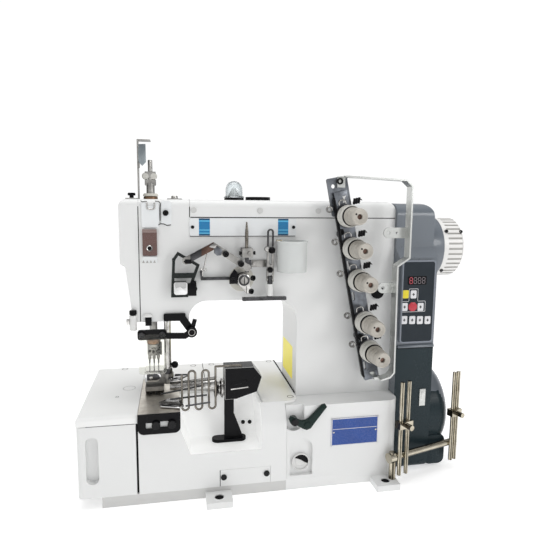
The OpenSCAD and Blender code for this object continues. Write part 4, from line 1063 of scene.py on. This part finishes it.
# painted shadow: a dark crescent on the gauge face, where the ring shades it
gaugeArc = [around(gaugeCenter, 9.8, turn) for turn in range(-16, 150, 9)]
gaugeShadowEdge = [(192.4, 38.6), (197.6, 36.4), (202.4, 32.8)]
fieldOutline = roundOutline((57, 122.8), (113, 167), 2.0, 3)
gauge = {
    "lathes": {
        "gaugeFace": ("y", [gaugeCenter],
                      [(0, 5.9), (5.6, 5.9), (6.0, 5.4), (6.6, 5.4), (7.0, 5.9), (10.0, 5.9), (10.0, 6.9),
                       (0, 6.9)], gaugeWhite),
    },
    "prisms": {
        "gaugeShade": (gaugeArc + gaugeShadowEdge, "y", 5.2, 6.0, blackPlastic, root, 0),
        "blankField": (fieldOutline, "x", 196.86, 197.1, fieldYellow, root, 0),
    },
}
makeStrip(strip)
makePlate(plate)
ringPiece("gaugeRing", "y", [gaugeCenter], [(9.9, 6.9), (11.5, 6.9), (11.5, 4.3), (10.9, 3.7), (9.9, 4.1)],
          gaugeWhite, nodes=("oil_gauge",))
makeTables(gauge)
print("plates and gauge made")


# tension row

tension = {
    "origin": (252.0, 0.0, 340.0),
    "tilt": -11.4,
    "steps": (0, 40, 80, 134, 172),
    "barrel": [(10.6, -4.6), (10.9, -5.2), (10.8, -9.2), (10.2, -9.5), (10.2, -10.1), (10.6, -10.4),
               (10.5, -15.2), (9.9, -15.5), (9.9, -16.1), (10.3, -16.4), (10.1, -21.4), (9.5, -21.7),
               (9.5, -22.3), (10.0, -22.6), (9.7, -28.4), (9.2, -30.2), (8.7, -31.1), (8.1, -31.5),
               (7.4, -31.2), (7.0, -30.7), (3.9, -30.2), (3.1, -29.6), (3.1, -4.6)],
    "fluted": (2, 5, 6, 9, 10, 13, 14),  # points of the barrel
    "flute": 0.45,
    "mark": [(0, -30.7), (1.1, -30.7), (1.1, -30.1), (0, -30.1)],
    "groove": [(3.1, -2.5), (11.8, -2.5), (11.8, -4.8), (3.1, -4.8)],
    "base": [(3.1, 11.5), (13.0, 11.5), (13.5, 11.0), (13.5, 6.4), (13.1, 5.8), (12.5, 5.6), (12.5, 4.8),
             (13.1, 4.4), (13.1, -0.4), (12.8, -1.4), (12.0, -2.6), (3.1, -2.6)],
    "slat": [(8.6, 12.6), (11.1, 11.8), (13.5, 19.0), (11.0, 19.8)],
    "slatGap": 3.1,
    "clipTop": [(10.4, 18.4), (20.6, 17.2), (21.4, 14.6), (19.4, 16.0), (10.0, 16.6)],
    "flange": [(-14.6, -202), (-13.2, -206), (-11.4, -206), (-11.4, 24), (-12.8, 24), (-14.6, 20)],
    "hook": ((-8.2, 14.6), (-8.2, 20.2), (0.4, 20.2), (0.4, 14.8)),
    "hookDepth": 11.2,
    "ring": [(2.2, 14.5), (2.4, 13.4), (3.4, 12.8), (4.1, 13.6), (4.1, 16.6), (2.2, 16.6)],
    "ringCenter": (-20, 12),
}
tensionTilt = Matrix.Rotation(math.radians(tension["tilt"]), 4, "Y")
tensionPlace = Matrix.Translation(tension["origin"]) @ tensionTilt


def makeKnobs(t):
    for index, step in enumerate(t["steps"], 1):
        node = f"tension_knob_{index}"
        body = nodeBody[node]
        edit = bmesh.new()
        addLathe(edit, "y", (0, -step), t["barrel"], 56, t["flute"], t["fluted"], loop=True)
        makePiece(f"knobBarrel{index}", edit, knobGrey, body, (node,), sharp=50, place=tensionPlace)
        ringPiece(f"knobBase{index}", "y", [(0, -step)], t["base"], ringGrey, body, 48, tensionPlace)
        dark = bmesh.new()
        addLathe(dark, "y", (0, -step), t["groove"], 48, loop=True)
        addLathe(dark, "y", (-4.2, 3.8 - step), t["mark"], 12)
        makePiece(f"knobGroove{index}", dark, seamDark, body, place=tensionPlace)


def makeTensionTrim(t):
    steps = t["steps"]
    clips = bmesh.new()
    for step in steps:
        for slat in range(3):
            addPrism(clips, shifted(t["slat"], slat * t["slatGap"], -step), "y", 10.4, 12.6)
        addPrism(clips, shifted(t["clipTop"], 0, -step), "y", 10.8, 12.2)
    makePiece("springClips", clips, blackPaint, soften=0.4, place=tensionPlace)
    prismPiece("bracketFlange", t["flange"], "y", 12.0, 17.2, blackPaint, soften=0.5, place=tensionPlace)
    hooks = [[(x, t["hookDepth"], z) for x, z in shifted(t["hook"], 0, -step)] for step in steps]
    wirePiece("threadHooks", hooks, 0.85, 3.0, brightSteel, place=tensionPlace)
    centers = [(t["ringCenter"][0], t["ringCenter"][1] - step) for step in steps]
    ringPiece("threadRings", "y", centers, t["ring"], flatSteel, steps=24, place=tensionPlace)


columnTrim = {
    "studs": {
        "bracketScrews": ("socket", [(245.3, 17, 320.3), (275.4, 17, 188.1), (242.3, 17, 381.4)], toFront,
                          4.0, blackScrew),
    },
    "prisms": {
        "upperPlate": ([(233.9, 367.4), (250.2, 371.4), (254.2, 356.3), (238.4, 351.5)], "y", 12.2, 13.6,
                       bracketSteel),
        "upperPlateNotch": ([(244.6, 363.4), (249.4, 364.4), (247.8, 360.6), (248.6, 356.2), (245.8, 355.6),
                             (246.4, 360.2)], "y", 11.9, 12.6, gaugeWhite, root, 0.1),
    },
    "lathes": {
        "columnPlug": ("y", [(303.7, 241.6)], [(0, 36.2), (8.5, 36.2), (8.5, 33.2), (7.6, 32.2), (0, 31.8)],
                       blackPlastic),
    },
}
makeKnobs(tension)
makeTensionTrim(tension)
makeTables(columnTrim)
print("tension row made")


# binder scroll

scroll = {
    "axis": (56.0, 123.0),
    "ends": (37.6, 95.8),
    "radii": (5.6, 10.0),
    "turns": 1.8,
    "sheet": 0.55,
    "lip": 118,  # degrees at which the sheet begins
    "flare": 1.3,
    "tuck": 0.24,  # how far the inner turns roll in
    "grid": (14, 60),
}


def makeScroll(s):
    edit = bmesh.new()
    (rows, columns), (x0, x1), (r0, r1) = s["grid"], s["ends"], s["radii"]
    grid = []
    for row in range(rows + 1):
        part = row / rows
        x = x0 + (x1 - x0) * part
        outer = r0 + (r1 - r0) * part ** s["flare"]  # opens like a trumpet
        line = []
        for column in range(columns + 1):
            turn = s["turns"] * column / columns
            reach = outer * (1 - s["tuck"] * turn / s["turns"] * (1.2 - 0.4 * part))  # rolls inward
            angle = math.radians(s["lip"]) - 2 * math.pi * turn
            y, z = s["axis"][0] + reach * math.cos(angle), s["axis"][1] + reach * math.sin(angle)
            line.append(edit.verts.new((x, y, z)))
        grid.append(line)
    for row in range(rows):
        for column in range(columns):
            near, far = grid[row], grid[row + 1]
            edit.faces.new((near[column], near[column + 1], far[column + 1], far[column]))
    bmesh.ops.recalc_face_normals(edit, faces=edit.faces)
    bmesh.ops.solidify(edit, geom=edit.faces[:], thickness=s["sheet"])
    makePiece("rolledScroll", edit, brightSteel, nodes=("binder_scroll",))


makeScroll(scroll)
print("binder made")


# thread path on the arm's front

forkAxis = (159.6, 24.4)
mirrorOutline = roundOutline((44.5, 246.8), (60.6, 262.6), 3.2)
threadPath = {
    "studs": {
        "guideScrews": ("socket", ((105.0, 16.6, 294.9), (123.0, 16.6, 283.2)), toFront, 3.7, blackScrew),
        "slotBarEnds": ("socket", [(128.6, 24, 239), (177.2, 24, 239)], toFront, 2.3, blackScrew),
    },
    "prisms": {
        "elbowPlate": (((85.4, 303.4), (89.6, 307.2), (94.2, 305.0), (93.2, 301.6), (88.6, 302.2)), "y",
                       15.6, 19.2, brightSteel, root, 0.5),
        "elbowClamp": (((92.8, 302.8), (96.0, 303.8), (101.0, 299.6), (99.4, 293.4), (94.8, 293.0),
                        (91.2, 296.4)), "y", 15.2, 19.4, bracketSteel, root, 0.6),
        "mirrorBox": (mirrorOutline, "y", 18.6, 24.2, mirrorSteel, root, 1.2),
    },
    "boxes": {
        "hookBlock": ([((57.6, 17, 283.6), (65.4, 22.4, 288.8)), ((56.4, 18, 285), (58, 21.4, 287.4))],
                      blackPaint, root, 0.9),
        "backBar": ([((137.4, 33.2, 276.8), (157, 36.2, 285.4)),
                     ((139, 32.4, 278.6), (143.6, 33.6, 283.6))], flatSteel, root, 0.6),
        "pinFoot": ([((128.6, 20.6, 272), (133.4, 24.4, 290.4)), ((133, 21.6, 276), (136.6, 24, 287))],
                    darkSteel, root, 0.6),
        "cupClip": ([((198.6, 15.2, 296.6), (201.6, 18.4, 300.8)),
                     ((198.8, 15.4, 292.8), (200.2, 17.6, 297))], blackPlastic),
        "cupHooks": ([((165.6, 16, 309.4), (172.6, 19, 311.6)), ((168.6, 16.4, 307.4), (170.4, 18.4, 310))],
                     nickel),
        "loopBlock": ([((61.6, 19.8, 245.2), (70.8, 27, 259.8)), ((64.4, 20.4, 259.4), (70.6, 25, 263))],
                      blackPaint, root, 0.7),
    },
    "wires": {
        "dropWire": ([[(83.6, 21.4, 295), (80.2, 20.8, 280.6), (78.3, 20.4, 273.8), (78.4, 20.4, 268.6)],
                      [(75.6, 19.4, 278.6), (77.6, 19.8, 275.4), (81.4, 19.8, 274.8), (82.4, 19.4, 278.0)]],
                     0.75, 1.2, brightSteel),
    },
    "lathes": {
        "guidePin": ("z", [(131, 25)],
                     [(0, 300.4), (2.05, 300.4), (2.05, 321), (1.5, 325.4), (0.9, 331.6), (0, 332.6)],
                     wireSteel, root, 24),
        "pinKnobs": ("x", [(25, 295)],
                     [(0, 121.6), (2.2, 121.8), (2.4, 123.4), (1.4, 124), (1.4, 139), (2.4, 139.6),
                      (2.4, 141.4), (0, 141.7)], blackScrew),
        "slotBoss": ("y", [(155.4, 299.8)], [(0, 19), (2.8, 19.2), (3.2, 20), (3.2, 26), (0, 26)],
                     brightSteel),
    },
    "rings": {
        "forkSleeve": ("z", [forkAxis],
                       [(2.6, 242.6), (3.7, 242.6), (3.9, 243.4), (3.9, 256.4), (3.5, 257.2), (2.6, 257.2)],
                       gaugeWhite),
        "forkStem": ("z", [forkAxis],
                     [(2.4, 257), (3.2, 257.2), (3.2, 261), (2.7, 261.6), (2.7, 263), (3.3, 263.6),
                      (3.3, 266.4), (2.4, 266.8)], darkSteel),
        "rockDisc": ("y", [(126, 262.4)],
                     [(8.6, 36.2), (15.4, 36.2), (15.4, 35.2), (14.8, 34.7), (8.6, 34.7)], creamPlastic),
    },
}
slotBalls = {  # centre: profile
    (160.8, 298.6): [(0, 14.8), (2.6, 15.2), (3.9, 17), (4.2, 19), (3.9, 21), (2.6, 23.6), (0, 24.2)],
    (159.6, 274.5): [(0, 18.6), (2.2, 19), (3.3, 20.8), (3.5, 22.4), (3.0, 24.2), (0, 24.4)],
}
rockAxis = (127.0, 263.0)
rockLever = nodeBody["take_up_lever"]
rockReach = (  # degrees, reach of the clamp's outline
    (90, 8.4), (60, 8.2), (30, 7.6), (0, 7.4), (-30, 8.6), (-52, 14.2), (-68, 17.4), (-84, 15.6), (-100,
            10.4), (-125, 8.8), (-150, 8.0), (180, 7.6), (150, 7.8), (120, 8.2),
)
rock = {
    "prisms": {
        "rockClamp": ([around(rockAxis, reach, turn) for turn, reach in rockReach], "y", 18.2, 25.6,
                      brightSteel, rockLever, 1.0),
        "leverCheek": ([(109.6, 258.6), (119.2, 258.6), (119.8, 272), (115.6, 276.4), (110.4, 268.4)], "y",
                       19.2, 22.6, blackPaint, rockLever, 0.5),
    },
    "rings": {
        "rockRing": ("y", [rockAxis], [(4.6, 18.4), (6.6, 18.4), (6.6, 17.2), (5.9, 16.6), (4.6, 16.8)],
                     darkSteel, rockLever),
    },
    "lathes": {
        "rockScrew": ("y", [rockAxis], [(0, 18.2), (4.5, 18.2), (4.5, 15.8), (3.9, 15.2), (0, 15.1)],
                      flatSteel, rockLever, 28),
    },
    "boxes": {
        "rockSlot": ([((126.5, 14.95, 258.8), (127.5, 15.6, 267.2)),
                      ((129.6, 18.05, 247.2), (130.3, 18.6, 255.8))], seamDark, rockLever, 0),
    },
    "studs": {
        "rockLobes": ("socket", [(137.2, 20, 265.4), (135.2, 20, 249.4)], (0.55, -0.83, 0), 3.3, blackScrew,
                      rockLever),
        "leverScrew": ("socket", [(113.9, 19.2, 263.6)], toFront, 3.2, blackScrew, rockLever),
    },
}


def makeSlotBalls(balls):
    edit = bmesh.new()
    for center, profile in balls.items():
        addLathe(edit, "y", center, profile, 28)
    makePiece("slotBalls", edit, blackPlastic)


makeTables(threadPath)
makeTables(rock)
makeSlotBalls(slotBalls)
print("thread path made")


# needle area

postAxis = (-3.4, 34.2)
clampBody = nodeBody["needle_clamp"]
footBody = nodeBody["presser_foot"]
guardBody = nodeBody["guard_bar"]
cheekArc = [around((20.4, 134.8), 6.6, -90 + 22.5 * step) for step in range(9)]
cheek = [(6.6, 128.2), (20, 128.2)] + cheekArc + [(6.6, 141.4)]
foldPlate = ((34.6, 58.8), (40.2, 47.0), (50.0, 50.6), (60.0, 63.4), (59.8, 68.8), (44.0, 71.0))
pivotAxis = (65.0, 200.0)
needleArea = {
    "lathes": {
        "oilPost": ("z", [postAxis],
                    [(0, 203), (3.8, 203), (4.4, 203.8), (4.4, 220.4), (3.9, 221.2), (0, 221.4)],
                    gaugeWhite),
        "oilKnob": ("z", [postAxis],
                    [(0, 221.2), (2.8, 221.2), (4.3, 222.4), (4.3, 226), (3.7, 227.2), (0, 227.6)],
                    blackPlastic),
        "needleShanks": ("z", [(x, 78) for x in (12.6, 18.0, 23.4)],
                         [(0, 153.4), (1.7, 153.4), (2.0, 154.2), (2.0, 160.6), (0, 160.6)], flatSteel,
                         clampBody, 20),
        "presserBall": ("z", [(44.2, 78)],
                        [(0, 139.8), (2.8, 140.4), (4.2, 142.4), (4.5, 144.4), (4.1, 146.6), (2.6, 148.2),
                         (0, 148.8)], blackPlastic, footBody),
    },
    "rings": {
        "needleCollar": ("z", [barAxis],
                         [(4.2, 175), (8.6, 175), (8.8, 176.4), (8.8, 181.4), (8.0, 182.6), (4.2, 182.6)],
                         bronze, clampBody),
        "presserCollar": ("z", [(35.5, 78.0)],
                          [(3.6, 129), (5.4, 129), (5.6, 130), (5.6, 139), (5.0, 140), (3.6, 140)],
                          darkSteel, footBody),
        "pivotRing": ("y", [pivotAxis],
                      [(3.2, 26.2), (6.2, 26.2), (6.4, 25.2), (5.6, 24.4), (4.4, 24.6), (3.2, 25.4)],
                      blackPlastic, guardBody),
        "pivotEye": ("y", [pivotAxis], [(3.4, 24.9), (4.2, 24.9), (4.2, 24.2), (3.4, 24.2)], flatSteel,
                     guardBody),
    },
    "boxes": {
        "oilPostBracket": ([((-5.4, 33, 208), (0.8, 36.4, 219)),
                            ((-11.0, 31.0, 210.4), (-7.4, 33.8, 217.2))], brightSteel, root, 0.6),
        "oilBlock": ([((10.6, 32.6, 208.0), (18.0, 36.4, 218.4)), ((12.2, 32.3, 209.6), (16.4, 33, 213))],
                     blackPaint, root, 0.3),
        "oilBlockCap": ([((8.4, 32.4, 218.4), (18.8, 36.4, 221.2)), ((9.6, 33, 221), (17.6, 36.4, 222.2))],
                        gaugeWhite),
        "clampBack": ([((26.0, 72, 160), (28.2, 79, 175.6)), ((24.8, 70, 163), (26.6, 72.4, 169))],
                      darkSteel, clampBody, 0.5),
    },
    "prisms": {
        "footCheek": (cheek, "y", 60.4, 63.4, mirrorSteel, footBody, 0.6),
        "footCheekInset": ([(x * 0.78 + 4.2, z * 0.62 + 51.2) for x, z in cheek], "y", 59.9, 60.6,
                           darkSteel, footBody, 0.2),
        "foldPlate": (foldPlate, "z", 132.0, 133.0, mirrorSteel, footBody),
        "guardTongue": (((3.2, 424.0), (13.4, 424.6), (13.6, 403.0), (9.0, 398.2), (4.8, 402.6)), "y", 71.2,
                        72.2, tongueSteel, root, 0.2),
    },
    "studs": {
        "clampScrews": ("socket", [(13.2, 66.6, 167.4), (18, 65.8, 166.6), (22.8, 66.6, 167.4)], toFront,
                        1.9, blackScrew, clampBody),
        "footScrew": ("pan", [(14.6, 59.9, 134.6)], toFront, 2.2, brightSteel, footBody),
        "barScrews": ("socket", ((6.4, 28.3, 198.2), (30.0, 28.3, 198.2)), toFront, 3.4, darkSteel,
                      guardBody),
    },
    "wires": {
        "foldEdge": ([[(x, y, 133.2) for x, y in foldPlate[2:]]], 0.7, 1.6, darkSteel, footBody),
    },
}
comb = {
    "teeth": (10.2, 14.4, 18.6, 22.8),
    "tooth": ((-1.5, 283.6), (1.5, 283.6), (0, 286.8)),
}


def makeComb(c):
    edit = bmesh.new()
    for x in c["teeth"]:
        addPrism(edit, shifted(c["tooth"], x, 0), "y", 33.2, 33.8)
    makePiece("combTeeth", edit, flatSteel)


makeTables(needleArea)
makeComb(comb)
print("needle area made")


# motor panel

panel = {
    "film": 13.6,
    "display": ((334.9, 253.8), (360.6, 264.7)),
    "digit": (3.6, 7.6, 0.5),  # width, height, stroke
    "digitStep": (2.6, 5.7),  # first from the window's edge, then from each other
    "strokeGaps": (0.3, 0.45),  # at the ends of level and upright strokes
    "keys": ((332.2, 208.6), (343.2, 208.2), (353.8, 207.8), (364.5, 207.5), (332.0, 225.5), (353.9, 225.0),
             (343.5, 241.5)),
    "yellowKey": (332.7, 241.9),
    "redKey": (343.1, 225.5),
    "redReach": 6.2,
    "keySize": (8.2, 10.4),
    "keyRise": 0.45,
    "markBars": ((1.6, 0.5), (0.5, 1.8)),  # half width, half height
    "frame": [(327.9, 219), (338.4, 219), (348, 219), (360.2, 219), (360.2, 232.6), (349.6, 232.6),
              (349.6, 248.6), (337.6, 248.6), (337.6, 232.6), (327.9, 232.6), (327.9, 219)],
    # painted shadow: a dark line under the panel's lower lip
    "lipShadow": ((327, 17.7, 169.4), (376.2, 18.4, 171)),
    "lip": [(18.6, 171), (15.4, 171), (15, 172.2), (16.2, 174.6), (18.6, 174.6)],
    "clip": [((360.4, 16.6, 91), (368.8, 18.4, 114)), ((362.4, 16, 100.4), (366.8, 16.8, 110.4))],
}


def digitStrokes(p, a, b):  # seven strokes of one digit
    wide, tall, thick = p["digit"]
    levelGap, uprightGap = p["strokeGaps"]
    front, back = p["film"] - 0.5, p["film"] - 0.3
    half = thick / 2
    strokes = []
    for level in (0, tall / 2, tall):
        low, high = b + level - half, b + level + half
        strokes.append(((a + levelGap, front, low), (a + wide - levelGap, back, high)))
    for side in (0, wide):
        for low in (uprightGap, tall / 2 + uprightGap):
            high = b + low + tall / 2 - 2 * uprightGap
            strokes.append(((a + side - half, front, b + low), (a + side + half, back, high)))
    return strokes


def makeDisplay(p):
    y = p["film"]
    (x0, z0), (x1, z1) = p["display"]
    window = roundOutline((x0, z0), (x1, z1), 1.2)
    prismPiece("displayWindow", window, "y", y - 0.35, y + 0.1, blackPlastic, soften=0)
    start, step = p["digitStep"]
    foot = z0 + (z1 - z0 - p["digit"][1]) / 2
    lefts = [x0 + start + index * step for index in range(4)]
    digits = [digitStrokes(p, left, foot) for left in lefts]
    boxPiece("firstDigit", digits[0], digitRed, soften=0)
    boxPiece("otherDigits", digits[1] + digits[2] + digits[3], keyPale, soften=0)


def makeKeys(p):
    y = p["film"]
    top = y - p["keyRise"]
    wide, tall = p["keySize"]
    outline = roundOutline((-wide / 2, -tall / 2), (wide / 2, tall / 2), 1.4)
    keys = bmesh.new()
    marks = []
    for x, z in p["keys"]:
        addPrism(keys, shifted(outline, x, z), "y", top, y)
        marks += [((x - a, y - 0.6, z - b), (x + a, y - 0.4, z + b)) for a, b in p["markBars"]]
    makePiece("panelKeys", keys, keyWhite, soften=0.12)
    # the printed key marks, and the painted shadow under the lip
    boxPiece("panelMarks", marks + [p["lipShadow"]], seamDark, soften=0)
    prismPiece("panelKeyYellow", shifted(outline, *p["yellowKey"]), "y", top, y, keyYellow, soften=0.12)
    octagon = [around(p["redKey"], p["redReach"], 22.5 + 45 * i) for i in range(8)]
    prismPiece("panelKeyRed", octagon, "y", y - 0.5, y, keyRed, soften=0.15)
    wirePiece("keyFrame", [[(a, y - 0.05, b) for a, b in p["frame"]]], 0.3, 1.0, keyWhite)


makeDisplay(panel)
makeKeys(panel)
prismPiece("panelLip", panel["lip"], "x", 326.4, 376.6, motorGrey, soften=0.4)
boxPiece("coverClip", panel["clip"], guardSteel, soften=0.5)
print("panel made")


# bed trim, handwheel trim and feet

topPlate = nodeBody["left_top_plate"]
wheelBody = nodeBody["handwheel"]
trim = {
    "studs": {
        "bedDimples": ("dimple",
                       ((71, 168.6, 112), (98.2, 170.6, 112), (154.8, 171, 112), (187, 171, 112),
                        (187.4, 24.8, 112), (-27.8, 168.4, 112)), upward, 4.2, flatSteel),
        "slopeScrews": ("pan", ((130.5, 50.3, 71.2), (139.2, 50.3, 70.8)), (0, -0.926, 0.377), 2.6,
                        blackScrew),
        # painted shade: a dark dimple stands for the hole in the top plate
        "coverHole": ("dimple", [(-27.3, 59.5, 112)], upward, 2.2, seamDark, topPlate),
        "wheelScrews": ("socket", ((402.4, 45.05, 319.4), (424.0, 45.9, 318.8)), (0, -0.826, 0.563), 2.4,
                        darkSteel, wheelBody),
        "wheelScrewLow": ("socket", ((402.0, 51.6, 267.2),), (0, -0.665, -0.747), 2.4, darkSteel,
                          wheelBody),
    },
    "rings": {
        "coverMark": ("z", [(-15.0, 88.0)], [(7.0, 111.6), (8.2, 111.6), (8.2, 112.1), (7.0, 112.1)],
                      castShade, topPlate),
        "wheelCollar": ("x", [wheelAxis],
                        [(40.6, 376), (42.6, 376), (42.6, 394), (42.0, 396.4), (40.6, 397)], motorGrey,
                        root, 72),
    },
    "lathes": {
        # painted shade: dark cups fill the holes in the feet
        "footHoles": ("z", [(x, y) for x in (94, 304) for y in (-11, 189)],
                      [(0, 0.3), (5.4, 0.3), (5.4, 6.6), (4.6, 6.8), (0, 6.4)], seamDark),
    },
    "prisms": {
        "motorFoot": (roundOutline((374, 4), (404, 46), 9), "y", 22, 122, motorLow, root, 2.0),
    },
}
makeTables(trim)
print("bed trim made")


# feed lever and dome

lever = {
    "pivot": (187.0, 90.0),
    "faces": (-2.6, 1.4),
    "blade": ((182.2, 97.6), (186.8, 95.6), (194.4, 91.2), (200.2, 90.8), (204.6, 92.8), (221.4, 109.4),
              (225.4, 110.2), (227.6, 106.6), (211.4, 86.0), (207.4, 80.4), (202.2, 78.6), (197.4, 80.6),
              (190.4, 85.2), (181.8, 88.6), (179.8, 93.4)),
    "boss": [(0, -2.8), (4.6, -2.8), (5, -2.2), (5, 7.6), (0, 7.6)],
    "button": [(0, -4.2), (3.6, -4.0), (4.6, -3.2), (4.6, -2.2), (0, -2.2)],
    "buttonCenter": (203.4, 85.0),
    "pin": (187, -2.8, 90),
}


def makeLever(v):
    body = nodeBody["feed_lever"]
    edit = bmesh.new()
    addPrism(edit, v["blade"], "y", *v["faces"])
    addLathe(edit, "y", v["pivot"], v["boss"], 32)
    addLathe(edit, "y", v["buttonCenter"], v["button"], 28)
    makePiece("leverBlade", edit, leverGreen, body, ("feed_lever",), soften=0.7)
    studPiece("leverPin", "pan", [v["pin"]], toFront, 2.6, flatSteel, body)


dome = {
    "center": (122.0, 78.0),
    "foot": 361.0,
    "outer": ((13.0, 0.0), (13.2, 1.2), (12.4, 2.2), (11.0, 2.6), (11.0, 10.0), (10.6, 13.4), (9.2, 17.0),
              (6.6, 19.8), (3.2, 21.2), (0, 21.6)),
    "wall": 0.8,
    "funnel": ((8.6, 0.2), (9.0, 0.8), (3.2, 11), (1.4, 13), (0.6, 13), (2.4, 10.6), (8.0, 0.2)),
}


def makeDome(d):
    wall = d["wall"]
    inner = [(max(radius - wall, 0), max(rise - wall, 0)) for radius, rise in d["outer"]][::-1]
    shell = shifted(list(d["outer"]) + inner, 0, d["foot"])
    ringPiece("domeShell", "z", [d["center"]], shell, clearPlastic, steps=56, nodes=("oil_dome",))
    ringPiece("domeFunnel", "z", [d["center"]], shifted(d["funnel"], 0, d["foot"]), gaugeWhite)


makeLever(lever)
makeDome(dome)


# binder neck, guides and slit

neckAxis = (54.0, 118.0)
tray = ((24.0, 30.0), (27.4, 14.6), (48.0, 7.6), (54.0, 12.0), (50.0, 33.0), (36.0, 40.0))
ribs = {
    "first": ((95, 24.6, 56), (97, 38, 59.6)),
    "pitch": 3.4,
    "count": 9,
}
binder = {
    "rings": {
        "binderNeck": ("x", [neckAxis],
                       [(6.5, 96.6), (9.0, 96.6), (8.2, 98.6), (8.4, 100.4), (12.0, 102), (12.4, 103.4),
                        (12.4, 104.2), (6.5, 104.2)], brightSteel),
        "binderNeckRing": ("x", [neckAxis],
                           [(6.5, 93.4), (10.6, 93.4), (11.2, 94.2), (11.2, 96.2), (10.6, 96.8),
                            (6.5, 96.8)], blackPlastic),
    },
    "wires": {
        "binderRods": ([[(27.4, 33.6, 122.2), (77.8, 38.2, 128.2)],
                        [(38.3, 27.4, 117.2), (82.3, 21, 122.4)],
                        [(56.2, 8.6, 115.2), (85.4, 12.8, 116.2)]], 1.1, 0.5, darkSteel),
        "binderTrayLip": ([[(x, y, 114.0) for x, y in tray[1:5]]], 0.8, 2.0, mirrorSteel),
        "binderTraySlot": ([[(28.6, 18.4, 113.7), (46.4, 11.2, 113.7)]], 0.7, 0.4, seamDark),
    },
    "prisms": {
        "binderTray": (tray, "z", 112.6, 113.6, brightSteel),
        "binderSlit": ([(111.2, 127.2), (132.8, 129.0), (132.8, 130.6), (111.2, 128.8)], "y", 19.4, 20.4,
                       brightSteel, root, 0.2),
    },
}


def makeRibs(r):
    (x0, y0, z0), (x1, y1, z1) = r["first"]
    shifts = [r["pitch"] * i for i in range(r["count"])]
    boxPiece("binderFootRib", [((x0 + shift, y0, z0), (x1 + shift, y1, z1)) for shift in shifts],
             blackPaint)


makeTables(binder)
makeRibs(ribs)
print("trim made")


# floor

floorLook = {
    "reach": 6.0,
    "finish": plastic("paleFloor", (0.90, 0.90, 0.90), (0.89, 0.89, 0.89), 0.7, 200.0, 0.0,
                      Emission_Color=(1.0, 1.0, 1.0, 1.0), Emission_Strength=0.47),
}


def makeFloor(f):
    mesh = bpy.data.meshes.new("floor")
    reach = f["reach"]
    corners = [(-reach, -reach, 0), (reach, -reach, 0), (reach, reach, 0), (-reach, reach, 0)]
    mesh.from_pydata(corners, [], [(0, 1, 2, 3)])
    mesh.materials.append(f["finish"])
    floor = bpy.data.objects.new("floor", mesh)
    bpy.context.collection.objects.link(floor)


makeFloor(floorLook)
